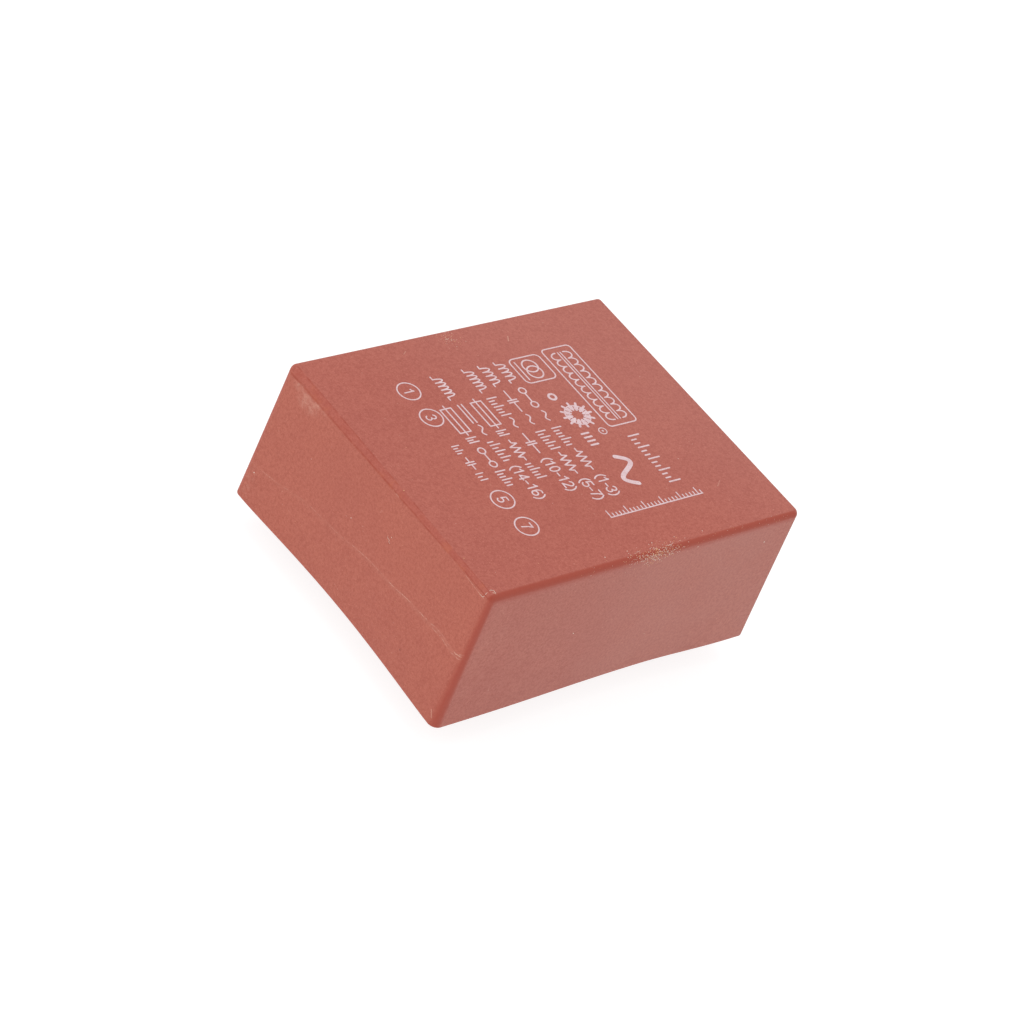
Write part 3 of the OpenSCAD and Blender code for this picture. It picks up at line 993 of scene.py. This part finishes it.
def flake(out, p, n, size, stretch=1.0, turn=0.0):
    """A thin flake with an uneven outline."""
    t = n.orthogonal().normalized()
    s = n.cross(t)
    c, sn = math.cos(turn), math.sin(turn)
    t, s = t * c + s * sn, s * c - t * sn
    m = 7
    rs = [size * rng.uniform(0.6, 1.15) for _ in range(m)]
    base = len(out[0])
    th = min(0.018, size * 0.25)
    for lift in (-0.004, th):
        for k in range(m):
            a = math.tau * k / m
            w = 1.0 if lift < 0 else 0.72
            out[0].append(p + t * (rs[k] * w * stretch * math.cos(a)) + s * (rs[k] * w * math.sin(a)) + n * lift)
    out[1].append([base + k for k in range(m)][::-1])
    out[1].append([base + m + k for k in range(m)])
    for k in range(m):
        j = (k + 1) % m
        out[1].append([base + k, base + j, base + m + j, base + m + k])


def fibre(out, p, n, length, r):
    """A short bent fibre that lies on the surface."""
    t = n.orthogonal().normalized()
    s = n.cross(t)
    a0 = rng.uniform(0, math.tau)
    t, s = t * math.cos(a0) + s * math.sin(a0), s * math.cos(a0) - t * math.sin(a0)
    bend = rng.uniform(-0.6, 0.6)
    base = len(out[0])
    steps, m = 6, 5
    for i in range(steps + 1):
        q = i / steps - 0.5
        mid = p + t * (q * length) + s * (bend * length * (q * q - 0.1)) + n * (r * 0.6)
        rr = r * (1 - 0.6 * abs(2 * q) ** 3)
        for k in range(m):
            a = math.tau * k / m
            out[0].append(mid + s * (rr * math.cos(a)) + n * (rr * math.sin(a)))
    for i in range(steps):
        for k in range(m):
            j = (k + 1) % m
            out[1].append([base + i * m + k, base + i * m + j, base + (i + 1) * m + j, base + (i + 1) * m + k])
    out[1].append([base + k for k in range(m)])
    out[1].append([base + steps * m + k for k in range(m)][::-1])


pale, ochre, dark = ([], []), ([], []), ([], [])
# single specks, from their places on each face: (face, a, b, size, kind)
for face, a, b, size, kind in (
        ("front", -8.2, 10.7, 0.07, pale), ("front", 21.25, 17.9, 0.11, pale), ("front", -19.5, 4.6, 0.05, pale),
        ("front", 6.0, 6.2, 0.05, pale), ("front", 15.2, 3.8, 0.045, ochre),
        ("left", 20.0, 4.8, 0.09, pale), ("left", -4.1, 15.7, 0.06, pale), ("left", 2.9, 12.5, 0.055, pale),
        ("left", -8.5, 9.0, 0.05, ochre), ("left", -12.1, 4.2, 0.07, dark), ("left", 12.3, 13.9, 0.045, pale),
        ("top", 14.1, 19.1, 0.05, pale), ("top", -6.8, -20.0, 0.08, pale), ("top", 5.0, -19.8, 0.07, pale),
        ("top", 15.5, -8.2, 0.055, pale), ("top", -25.4, -2.4, 0.07, ochre), ("top", -25.2, -14.6, 0.06, ochre),
        ("top", -20.3, 4.0, 0.04, ochre), ("top", 21.0, 6.5, 0.05, pale), ("top", -16.2, -18.2, 0.045, ochre),
        ("back", -10.0, 12.0, 0.07, pale), ("back", 14.5, 7.0, 0.06, pale), ("back", 3.0, 16.5, 0.05, ochre),
        ("right", 8.0, 9.0, 0.06, pale), ("right", -11.5, 14.0, 0.05, ochre), ("right", -3.0, 5.0, 0.06, pale)):
    p, n = on_surface(face, a, b)
    flake(kind, p, n, size, stretch=rng.uniform(1.0, 1.7), turn=rng.uniform(0, 3))
# lint along the front edge of the roof, densest a little right of the middle
def edge_dust(x, a, kind, size, line=False):
    if a > 1:
        p, n = on_surface("top", x, -(W / 2 - 0.42) + 0.78 + (a - 1) * 2.0)
    elif a < 0:
        p, n = on_surface("front", x, HV - 0.78 + a * 1.6)
    else:
        p, n = fillet_point(x, a)
    if line:
        fibre(kind, p, n, size, rng.uniform(0.009, 0.014))
    else:
        flake(kind, p, n, size, rng.uniform(1, 1.9), rng.uniform(0, 3))


for _ in range(430):
    edge_dust(rng.gauss(1.0, 2.1), min(1.5, max(-0.8, rng.gauss(0.35, 0.5))), pale if rng.random() < 0.5 else ochre,
              rng.uniform(0.022, 0.058))
for _ in range(26):
    edge_dust(rng.gauss(1.0, 2.2), rng.uniform(-0.3, 1.1), pale, rng.uniform(0.2, 0.46), line=True)
for _ in range(110):
    edge_dust(rng.uniform(-12, 24), rng.uniform(-0.1, 1.1), ochre if rng.random() < 0.6 else pale, rng.uniform(0.015, 0.034))
for x, a, size in ((1.2, 1.45, 0.08), (9.6, 1.3, 0.06), (-3.1, 1.35, 0.06), (8.2, -0.15, 0.06), (3.4, 0.95, 0.065)):
    edge_dust(x, a, pale, size)
# lint near the middle of the roof's rear edge
for _ in range(80):
    p, n = on_surface("top", rng.gauss(-1.4, 0.75), min(21.0, rng.gauss(20.0, 0.7)))
    flake(pale if rng.random() < 0.45 else ochre, p, n, rng.uniform(0.018, 0.048), 1.4, rng.uniform(0, 3))
for _ in range(4):
    p, n = on_surface("top", rng.gauss(-1.4, 0.5), rng.gauss(20.0, 0.5))
    fibre(pale, p, n, rng.uniform(0.2, 0.45), 0.011)
def hair(out, pts, r):
    """A fine hair along points, in mm."""
    base = len(out[0])
    m = 6
    path = []
    for i in range(len(pts) - 1):
        p0, p1, p2, p3 = (Vector(pts[max(0, min(len(pts) - 1, i + k))]) for k in (-1, 0, 1, 2))
        for j in range(5):
            t = j / 5
            path.append(0.5 * ((2 * p1) + (p2 - p0) * t + (2 * p0 - 5 * p1 + 4 * p2 - p3) * t * t + (3 * p1 - p0 - 3 * p2 + p3) * t ** 3))
    path.append(Vector(pts[-1]))
    for i, p in enumerate(path):
        d = (path[min(i + 1, len(path) - 1)] - path[max(i - 1, 0)]).normalized()
        s = d.orthogonal().normalized()
        q = d.cross(s)
        rr = r * (0.45 + 0.55 * min(1.0, 4 * (i + 0.3) / len(path), 4 * (len(path) - i) / len(path)))
        for k in range(m):
            a = math.tau * k / m
            v = p + s * (rr * math.cos(a)) + q * (rr * math.sin(a))
            v.z = min(v.z, 21.7)
            out[0].append(v)
    for i in range(len(path) - 1):
        for k in range(m):
            j = (k + 1) % m
            out[1].append([base + i * m + k, base + i * m + j, base + (i + 1) * m + j, base + (i + 1) * m + k])
    out[1].append([base + k for k in range(m)][::-1])
    out[1].append([base + (len(path) - 1) * m + k for k in range(m)])


hair(pale, [(-26.11, -19.6, 20.72), (-26.11, -20.2, 20.86), (-25.95, -20.25, 21.40), (-25.4, -20.16, 21.685),
            (-25.02, -20.3, 21.69), (-24.98, -20.7, 21.675), (-25.1, -21.0, 21.6)], 0.027)
hair(pale, [(-26.13, -3.45, 15.35), (-26.15, -3.62, 15.12), (-26.13, -3.9, 15.1), (-26.14, -3.98, 14.85), (-26.13, -4.2, 14.7)], 0.022)
# a few grains anywhere on the faces
for _ in range(110):
    face = rng.choice(("top", "top", "left", "front", "back", "right"))
    if face == "top":
        p, n = on_surface("top", rng.uniform(-25, 25), rng.uniform(-20.5, 20.5))
    else:
        p, n = on_surface(face, rng.uniform(-20, 20), rng.uniform(1, 20))
    flake(pale if rng.random() < 0.5 else ochre, p, n, rng.uniform(0.014, 0.03), 1.5, rng.uniform(0, 3))
dust = []
for name, out in (("dust_pale", pale), ("dust_ochre", ochre), ("dust_dark", dark)):
    o = make_object(name, [tuple(v) for v in out[0]], out[1], smooth=False)
    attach(o, "root")
    dust.append(o)


# --------------------------------------------------------------------------
# Materials
# --------------------------------------------------------------------------
def case_material():
    m = Mat("case_plastic", roughness=0.56, specular=0.42)
    x, y, z = m.xyz()
    geo = m.nt.nodes.new("ShaderNodeNewGeometry")
    n_x, n_y, n_z = m.xyz(geo.outputs["Normal"])
    left = m.span(n_x, -0.96, -0.75, 1.0, 0.0)
    front = m.span(n_y, -0.96, -0.75, 1.0, 0.0)
    roof = m.span(n_z, 0.8, 0.97)
    body = (0.405, 0.103, 0.071, 1)
    # broad, uneven tone, and the grain of the moulded skin
    broad = m.noise(55, 3, 0.55)
    mottle = m.noise(420, 3, 0.6)
    grain = m.noise(2600, 2, 0.6)
    fine = m.noise(7500, 2, 0.65)
    col = m.mix(m.span(broad, 0.3, 0.7), (0.414, 0.097, 0.068, 1), (0.443, 0.109, 0.074, 1))
    col = m.mix(m.span(mottle, 0.3, 0.75, 0.0, 0.55), col, (0.462, 0.120, 0.083, 1))
    col = m.mix(m.span(grain, 0.35, 0.72, 0.0, 0.72), col, (0.352, 0.074, 0.051, 1))
    col = m.mix(m.span(fine, 0.50, 0.72, 0.0, 0.68), col, (0.55, 0.172, 0.122, 1))
    # painted light: the left end is tinted warmer, where it takes less sheen, and the front greyer, as a painted sheen
    col = m.mix(m.math("MULTIPLY", left, 0.5), col, (0.965, 0.93, 0.745, 1), "MULTIPLY")
    col = m.mix(m.math("MULTIPLY", front, 0.5), col, (0.905, 0.955, 0.96, 1), "MULTIPLY")
    # painted sheen: a grey sheen is painted on the front and, faintly, towards the far end of the roof
    cloud = m.noise(95, 4, 0.6)
    front_sheen = m.math("MULTIPLY", front, m.span(x, -0.028, 0.012, 0.35, 1.0))
    front_sheen = m.math("MULTIPLY", front_sheen, m.span(cloud, 0.2, 0.75, 0.65, 1.0))
    col = m.mix(m.math("MULTIPLY", front_sheen, 0.20), col, (0.50, 0.325, 0.285, 1))
    roof_sheen = m.math("MULTIPLY", roof, m.span(m.math("MULTIPLY_ADD", y, 0.7, x), -0.012, 0.030, 0.0, 1.0))
    col = m.mix(m.math("MULTIPLY", roof_sheen, 0.11), col, (0.52, 0.31, 0.28, 1))
    # pale specks of filler
    speck = m.cells(900)
    speck = m.math("MULTIPLY", m.span(speck, 0.06, 0.13, 1.0, 0.0), m.span(m.noise(300, 1), 0.52, 0.62))
    col = m.mix(m.math("MULTIPLY", speck, 0.3), col, (0.62, 0.30, 0.22, 1))
    # the line that the resin left on the left end wall
    curve = m.nt.nodes.new("ShaderNodeFloatCurve")
    places = [(20.8, 5.7), (17.5, 6.3), (16.1, 6.6), (13.6, 7.3), (10.4, 8.2), (6.8, 8.6), (2.9, 9.1), (-0.3, 9.8),
              (-3.5, 10.2), (-7.1, 10.4), (-10.3, 10.9), (-13.9, 11.2), (-16.7, 11.6), (-19.6, 11.3), (-20.9, 11.6), (-21.6, 12.2)]
    pts = sorted(((-q[0] + 22) / 44, q[1] / 22) for q in places)
    c = curve.mapping.curves[0]
    while len(c.points) < len(pts):
        c.points.new(0.5, 0.5)
    for cp, (a, b) in zip(c.points, pts):
        cp.location = (a, b)
        cp.handle_type = "AUTO"
    curve.mapping.update()
    m.put(curve, "Value", m.math("MULTIPLY_ADD", y, -1 / (44 * MM), 0.5))
    target = m.math("MULTIPLY", curve.outputs[0], 22 * MM)
    wob = m.math("MULTIPLY_ADD", m.noise(1900, 3, 0.65), 0.00034, -0.00017)
    off = m.math("ADD", m.math("SUBTRACT", z, target), wob)
    thin = m.span(m.math("ABSOLUTE", off), 0.00002, 0.00011, 1.0, 0.0)
    under = m.span(m.math("ABSOLUTE", m.math("ADD", off, 0.00042)), 0.00001, 0.00010, 1.0, 0.0)
    soft = m.span(m.math("ABSOLUTE", m.math("ADD", off, 0.00018)), 0.0001, 0.00055, 1.0, 0.0)
    broken = m.math("MULTIPLY", m.span(m.noise(330, 3, 0.6), 0.40, 0.58, 0.12, 1.0), m.span(m.noise(2600, 2, 0.7), 0.38, 0.58, 0.15, 1.0))
    near_d = m.span(y, -0.021, 0.010, 1.0, 0.38)
    line = m.math("MULTIPLY", m.math("MULTIPLY", thin, broken), m.math("MULTIPLY", near_d, left))
    twin = m.math("MULTIPLY", m.math("MULTIPLY", under, m.span(m.noise(520, 2), 0.46, 0.6)), m.math("MULTIPLY", m.span(y, -0.020, -0.004, 1.0, 0.0), left))
    halo = m.math("MULTIPLY", m.math("MULTIPLY", soft, left), m.math("MULTIPLY", near_d, 0.05))
    # scratches and rubbed places, each on its own face
    on_left, on_top, on_front = m.plane(y, z), m.plane(x, y), m.plane(x, z)
    marks = None

    def gather(v, k):
        nonlocal marks
        v = m.math("MULTIPLY", v, k)
        marks = v if marks is None else m.math("MAXIMUM", marks, v)

    gather(line, 0.62)
    gather(twin, 0.34)
    gather(halo, 0.9)
    for a, b, w, k in (((-16.6, 20.95), (-18.6, 20.78), 0.05, 0.20), ((-18.9, 20.76), (-20.3, 20.68), 0.06, 0.28),
                       ((-20.9, 1.2), (-20.4, 2.1), 0.08, 0.40), ((-20.7, 11.75), (-21.45, 12.2), 0.10, 0.5),
                       ((-1.4, 21.05), (-2.6, 21.0), 0.09, 0.4)):
        cut = m.math("MULTIPLY", m.stroke(on_left, a, b, w, 0.07), m.span(m.noise(1500, 3, 0.6), 0.32, 0.55, 0.35, 1.0))
        gather(m.math("MULTIPLY", cut, left), k)
    for a, b, w, k in (((6.7, 17.3), (7.2, 18.1), 0.07, 0.45), ((-25.25, -20.6), (-24.9, -21.0), 0.1, 0.5),
                       ((-9.6, 18.9), (-9.0, 19.3), 0.05, 0.3), ((17.5, -14.0), (18.6, -13.2), 0.05, 0.25)):
        gather(m.math("MULTIPLY", m.stroke(on_top, a, b, w, 0.06), roof), k)
    for a, b, w, k in (((-23.6, 19.0), (-24.2, 3.0), 0.5, 0.035), ((-21.4, 17.0), (-22.8, 6.0), 0.3, 0.025)):
        dull = m.math("MULTIPLY", m.stroke(on_front, a, b, w, 1.4), m.span(m.noise(170, 3), 0.3, 0.65))
        gather(m.math("MULTIPLY", dull, front), k)
    # the chalky smudge by the upper rear corner of the left end wall
    streak = m.noise(1100, 4, 0.7, distortion=0.4)
    haze = m.noise(420, 3, 0.6)
    smudge = m.math("MAXIMUM", m.spot(on_left, (16.2, 19.8), 2.8, 2.0, 0.0),
                    m.math("MAXIMUM", m.spot(on_left, (18.4, 20.6), 1.7, 1.3, 0.0), m.math("MULTIPLY", m.spot(on_left, (14.2, 20.7), 2.0, 0.7, 0.0), 0.9)))
    smudge = m.math("MULTIPLY", smudge, m.span(streak, 0.38, 0.68, 0.12, 1.0))
    smudge = m.math("MULTIPLY", smudge, m.span(haze, 0.3, 0.6, 0.35, 1.0))
    gather(m.math("MULTIPLY", smudge, left), 0.46)
    rub = m.math("MULTIPLY", m.spot(on_left, (20.3, 3.3), 1.8, 3.6, 0.0), m.span(streak, 0.45, 0.7))
    gather(m.math("MULTIPLY", rub, left), 0.22)
    col = m.mix(marks, col, (0.76, 0.47, 0.36, 1))
    # painted shade: the edge bands are darker and redder, strongest on the edges toward the camera, where the faces'
    # sheen is missing; they are also a little smoother, and a crease bounds the left one
    edge_shade_and_polish = m.attr("edge")
    c_amt = m.attr("crease")
    turn = m.attr("turn")
    patchy = m.noise(520, 4, 0.65)
    edge_shade_and_polish = m.math("MULTIPLY", edge_shade_and_polish, m.math("ADD", 1.0, m.math("MULTIPLY", c_amt, m.span(patchy, 0.3, 0.7, -0.55, 0.7))))
    col = m.mix(m.math("MULTIPLY", edge_shade_and_polish, 0.9), col, (0.362, 0.054, 0.028, 1))
    # painted shade: two dark crease lines are painted along the left fillet, uneven and broken
    sway = m.math("MULTIPLY_ADD", m.noise(260, 3, 0.6), 0.30, -0.15)
    low = m.span(m.math("ABSOLUTE", m.math("SUBTRACT", m.math("ADD", turn, sway), 0.10)), 0.03, 0.17, 1.0, 0.0)
    high = m.span(m.math("ABSOLUTE", m.math("SUBTRACT", m.math("ADD", turn, m.math("MULTIPLY", sway, -0.6)), 0.92)), 0.02, 0.15, 1.0, 0.0)
    lines = m.math("MAXIMUM", m.math("MULTIPLY", low, m.span(m.noise(430, 4, 0.7), 0.34, 0.62, 0.25, 1.0)),
                   m.math("MULTIPLY", high, m.span(m.noise(610, 4, 0.7), 0.36, 0.60, 0.15, 1.0)))
    crease_shade = m.math("MULTIPLY", c_amt, lines)
    col = m.mix(m.math("MULTIPLY", crease_shade, 0.72), col, (0.325, 0.044, 0.022, 1))
    # painted light: lighter orange patches are painted along the left fillet
    fillet_light_patches = m.math("MULTIPLY", c_amt, m.span(m.noise(350, 4, 0.7), 0.50, 0.72))
    col = m.mix(m.math("MULTIPLY", fillet_light_patches, 0.35), col, (0.50, 0.125, 0.055, 1))
    m.set("Base Color", col)
    rough = m.span(grain, 0.2, 0.8, 0.52, 0.64)
    rough = m.math("SUBTRACT", rough, m.math("MULTIPLY", edge_shade_and_polish, 0.06))
    m.set("Roughness", m.math("ADD", rough, m.math("MULTIPLY", marks, 0.15)))
    h = m.math("ADD", m.math("MULTIPLY", grain, 0.6), m.math("MULTIPLY", fine, 0.55))
    h = m.math("ADD", h, m.math("MULTIPLY", mottle, 0.5))
    m.set("Normal", m.bump(h, 0.30, 0.00003))
    return m.mat


def potting_material():
    m = Mat("potting_resin", roughness=0.32, specular=0.5)
    flow = m.noise(120, 4, 0.55, distortion=1.2)
    fine = m.noise(1800, 3, 0.6)
    col = m.mix(m.span(flow, 0.3, 0.7), (0.235, 0.058, 0.042, 1), (0.285, 0.078, 0.056, 1))
    col = m.mix(m.span(fine, 0.45, 0.8, 0, 0.4), col, (0.34, 0.12, 0.09, 1))
    # painted shade: small pits, dented by the bump, are also darkened in colour for the shade inside them
    pits = m.cells(700)
    pit = m.math("MULTIPLY", m.span(pits, 0.05, 0.16, 1.0, 0.0), m.span(m.noise(200, 1), 0.5, 0.6))
    col = m.mix(m.math("MULTIPLY", pit, 0.7), col, (0.13, 0.03, 0.022, 1))
    m.set("Base Color", col)
    m.set("Roughness", m.span(flow, 0.25, 0.8, 0.26, 0.44))
    h = m.math("SUBTRACT", m.math("ADD", m.math("MULTIPLY", flow, 0.7), m.math("MULTIPLY", fine, 0.1)), m.math("MULTIPLY", pit, 0.35))
    m.set("Normal", m.bump(h, 0.35, 0.00012))
    return m.mat


def tin_material():
    m = Mat("tinned_pin", roughness=0.3, metallic=1.0)
    dull = m.noise(900, 4, 0.6)
    runs = m.noise(1300, 3, 0.6, coord=m.stretch(1, 1, 0.16))
    col = m.mix(m.span(dull, 0.3, 0.7), (0.64, 0.63, 0.60, 1), (0.80, 0.79, 0.77, 1))
    col = m.mix(m.span(runs, 0.55, 0.8, 0, 0.45), col, (0.46, 0.45, 0.43, 1))
    m.set("Base Color", col)
    m.set("Roughness", m.span(dull, 0.25, 0.75, 0.2, 0.42))
    m.set("Normal", m.bump(m.math("ADD", m.math("MULTIPLY", runs, 0.7), m.math("MULTIPLY", dull, 0.3)), 0.4, 0.00004))
    return m.mat


def solder_material():
    m = Mat("solder", roughness=0.25, metallic=1.0)
    a = m.noise(1500, 4, 0.6, distortion=0.5)
    col = m.mix(m.span(a, 0.3, 0.75), (0.60, 0.60, 0.59, 1), (0.82, 0.82, 0.81, 1))
    m.set("Base Color", col)
    m.set("Roughness", m.span(a, 0.3, 0.75, 0.18, 0.4))
    m.set("Normal", m.bump(a, 0.3, 0.00005))
    return m.mat


def steel_material():
    m = Mat("core_steel", roughness=0.45, metallic=0.85)
    rolled = m.noise(900, 4, 0.6, coord=m.stretch(0.08, 1, 1))
    oxide = m.noise(160, 5, 0.62)
    col = m.mix(m.span(rolled, 0.3, 0.7), (0.20, 0.21, 0.225, 1), (0.30, 0.31, 0.32, 1))
    col = m.mix(m.span(oxide, 0.55, 0.78, 0, 0.7), col, (0.16, 0.115, 0.08, 1))
    m.set("Base Color", col)
    m.set("Roughness", m.span(oxide, 0.3, 0.8, 0.35, 0.62))
    m.set("Normal", m.bump(rolled, 0.25, 0.00003))
    return m.mat


def bobbin_material():
    m = Mat("bobbin_nylon", roughness=0.42, specular=0.5)
    glass = m.noise(2600, 3, 0.6, coord=m.stretch(0.3, 1, 1))
    flow = m.noise(90, 3, 0.5)
    col = m.mix(m.span(flow, 0.3, 0.7), (0.66, 0.60, 0.48, 1), (0.74, 0.69, 0.57, 1))
    col = m.mix(m.span(glass, 0.55, 0.8, 0, 0.35), col, (0.84, 0.80, 0.70, 1))
    m.set("Base Color", col)
    m.set("Roughness", m.span(glass, 0.3, 0.75, 0.36, 0.52))
    m.set("Normal", m.bump(glass, 0.2, 0.00002))
    return m.mat


def wire_material(name, pitch, shade):
    """Enamelled copper in turns laid side by side along X."""
    m = Mat(name, roughness=0.3, metallic=0.75)
    x, y, z = m.xyz()
    drift = m.math("MULTIPLY_ADD", m.noise(140, 3, 0.5), pitch * MM * 1.6, 0.0)
    turn = m.math("MULTIPLY", m.math("ADD", x, drift), math.tau / (pitch * MM))
    height = m.math("ABSOLUTE", m.math("SINE", m.math("MULTIPLY", turn, 0.5)))
    tone = m.noise(260, 3, 0.5)
    a, b = shade
    col = m.mix(m.span(tone, 0.3, 0.7), a, b)
    # painted shade: the grooves between turns are darkened
    col = m.mix(m.span(height, 0.0, 0.45, 0.75, 0.0), col, (a[0] * 0.25, a[1] * 0.2, a[2] * 0.2, 1))
    m.set("Base Color", col)
    m.set("Roughness", m.span(tone, 0.3, 0.7, 0.22, 0.38))
    m.set("Normal", m.bump(height, 0.8, pitch * MM * 0.4))
    return m.mat


def tape_material():
    m = Mat("polyester_tape", roughness=0.22, specular=0.5)
    x, y, z = m.xyz()
    wrinkle = m.noise(260, 4, 0.55, coord=m.stretch(1, 0.3, 0.3), distortion=0.4)
    laps = m.math("FRACT", m.math("MULTIPLY", x, 1 / (5.6 * MM)))
    lap = m.span(laps, 0.0, 0.03, 1.0, 0.0)
    col = m.mix(m.span(wrinkle, 0.3, 0.7), (0.72, 0.42, 0.045, 1), (0.80, 0.52, 0.08, 1))
    col = m.mix(m.math("MULTIPLY", lap, 0.5), col, (0.5, 0.26, 0.02, 1))
    m.set("Base Color", col)
    m.set("Roughness", m.span(wrinkle, 0.3, 0.7, 0.16, 0.32))
    m.set("Normal", m.bump(m.math("ADD", wrinkle, m.math("MULTIPLY", lap, 0.5)), 0.5, 0.0001))
    return m.mat


def ink_material():
    m = Mat("ink_white", roughness=0.5, specular=0.35)
    cover = m.noise(5200, 3, 0.65)
    patch = m.noise(700, 3, 0.6)
    col = m.mix(m.span(patch, 0.3, 0.7), (0.70, 0.505, 0.53, 1), (0.76, 0.59, 0.62, 1))
    col = m.mix(m.span(cover, 0.48, 0.64, 0.0, 0.5), col, (0.60, 0.30, 0.27, 1))
    m.set("Base Color", col)
    m.set("Roughness", m.span(patch, 0.3, 0.7, 0.45, 0.6))
    m.set("Normal", m.bump(cover, 0.3, 0.00001))
    return m.mat


def dust_material(name, a, b):
    m = Mat(name, roughness=0.85, specular=0.2)
    t = m.noise(9000, 3, 0.6)
    m.set("Base Color", m.mix(m.span(t, 0.3, 0.7), a, b))
    m.set("Roughness", m.span(t, 0.3, 0.7, 0.75, 0.95))
    m.set("Normal", m.bump(t, 0.4, 0.00001))
    return m.mat


def floor_material():
    """A pale light table: it glows softly, and from below it isn't there."""
    m = Mat("floor", roughness=0.8, specular=0.1)
    t = m.noise(6, 3, 0.5)
    m.set("Base Color", m.mix(m.span(t, 0.2, 0.8), (0.29, 0.29, 0.29, 1), (0.31, 0.31, 0.31, 1)))
    m.set("Emission Color", (1.0, 1.0, 1.0, 1))
    m.set("Emission Strength", 0.83)
    geo = m.nt.nodes.new("ShaderNodeNewGeometry")
    clear = m.nt.nodes.new("ShaderNodeBsdfTransparent")
    both = m.nt.nodes.new("ShaderNodeMixShader")
    m.nt.links.new(geo.outputs["Backfacing"], both.inputs[0])
    m.nt.links.new(m.bsdf.outputs[0], both.inputs[1])
    m.nt.links.new(clear.outputs[0], both.inputs[2])
    m.nt.links.new(both.outputs[0], m.out.inputs["Surface"])
    return m.mat


mats = {
    "case": case_material(), "potting": potting_material(), "tin": tin_material(), "solder": solder_material(),
    "steel": steel_material(), "bobbin": bobbin_material(), "tape": tape_material(), "ink": ink_material(),
    "fine": wire_material("fine_wire", 0.14, ((0.62, 0.20, 0.055, 1), (0.72, 0.27, 0.085, 1))),
    "thick": wire_material("thick_wire", 0.36, ((0.52, 0.15, 0.04, 1), (0.64, 0.21, 0.06, 1))),
}


def paint(o, mat):
    o.data.materials.clear()
    o.data.materials.append(mat)


paint(case, mats["case"])
paint(potting_skin, mats["potting"])
for o in prints:
    paint(o, mats["ink"])
paint(dust[0], dust_material("dust_pale", (0.72, 0.60, 0.50, 1), (0.86, 0.78, 0.70, 1)))
paint(dust[1], dust_material("dust_ochre", (0.66, 0.34, 0.17, 1), (0.78, 0.48, 0.26, 1)))
paint(dust[2], dust_material("dust_dark", (0.16, 0.07, 0.07, 1), (0.24, 0.10, 0.10, 1)))
for name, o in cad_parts.items():
    kind = ("potting" if name == "potting_resin" else "tin" if name.startswith("pin_") else
            "solder" if name.startswith("solder") else "steel" if "laminations" in name else
            "bobbin" if name.startswith("bobbin") else "tape" if "tape" in name else
            "fine" if name.startswith("primary") else "thick" if name.startswith("secondary") else "case")
    paint(o, mats[kind])

# --------------------------------------------------------------------------
# Floor, world and lights
# --------------------------------------------------------------------------
me = bpy.data.meshes.new("floor")
s, fz = 6.0, CAD_LO.z
me.from_pydata([(-s, -s, fz), (s, -s, fz), (s, s, fz), (-s, s, fz)], [], [(0, 1, 2, 3)])
floor = bpy.data.objects.new("floor", me)
bpy.context.scene.collection.objects.link(floor)
paint(floor, floor_material())

world = bpy.data.worlds.new("studio")
bpy.context.scene.world = world
world.use_nodes = True
wn = world.node_tree
wn.nodes.clear()
w_out = wn.nodes.new("ShaderNodeOutputWorld")
w_bg = wn.nodes.new("ShaderNodeBackground")
w_bg.inputs["Color"].default_value = (1.0, 1.0, 1.0, 1)
w_bg.inputs["Strength"].default_value = 0.72
w_path = wn.nodes.new("ShaderNodeLightPath")
w_lit = wn.nodes.new("ShaderNodeMath")          # seen from below, the backdrop is as pale as the floor
w_lit.operation = "MULTIPLY_ADD"
w_lit.inputs[1].default_value, w_lit.inputs[2].default_value = 0.26, 0.72
wn.links.new(w_path.outputs["Is Camera Ray"], w_lit.inputs[0])
wn.links.new(w_lit.outputs[0], w_bg.inputs["Strength"])
wn.links.new(w_bg.outputs[0], w_out.inputs[0])


def softbox(name, at, size, power, aim=(0, 0, 0.008)):
    d = bpy.data.lights.new(name, "AREA")
    d.shape, d.size, d.size_y, d.energy = "RECTANGLE", size[0], size[1], power
    o = bpy.data.objects.new(name, d)
    bpy.context.scene.collection.objects.link(o)
    o.location = at
    o.rotation_mode = "QUATERNION"
    o.rotation_quaternion = (Vector(aim) - Vector(at)).to_track_quat("-Z", "Y")
    return o


softbox("key_left", (-0.95, 0.35, 0.75), (0.9, 0.9), 3.2)
softbox("top", (0.15, 0.3, 1.2), (1.0, 1.0), 4.0)
softbox("fill_right", (0.9, -0.5, 0.5), (0.7, 0.7), 0.5)
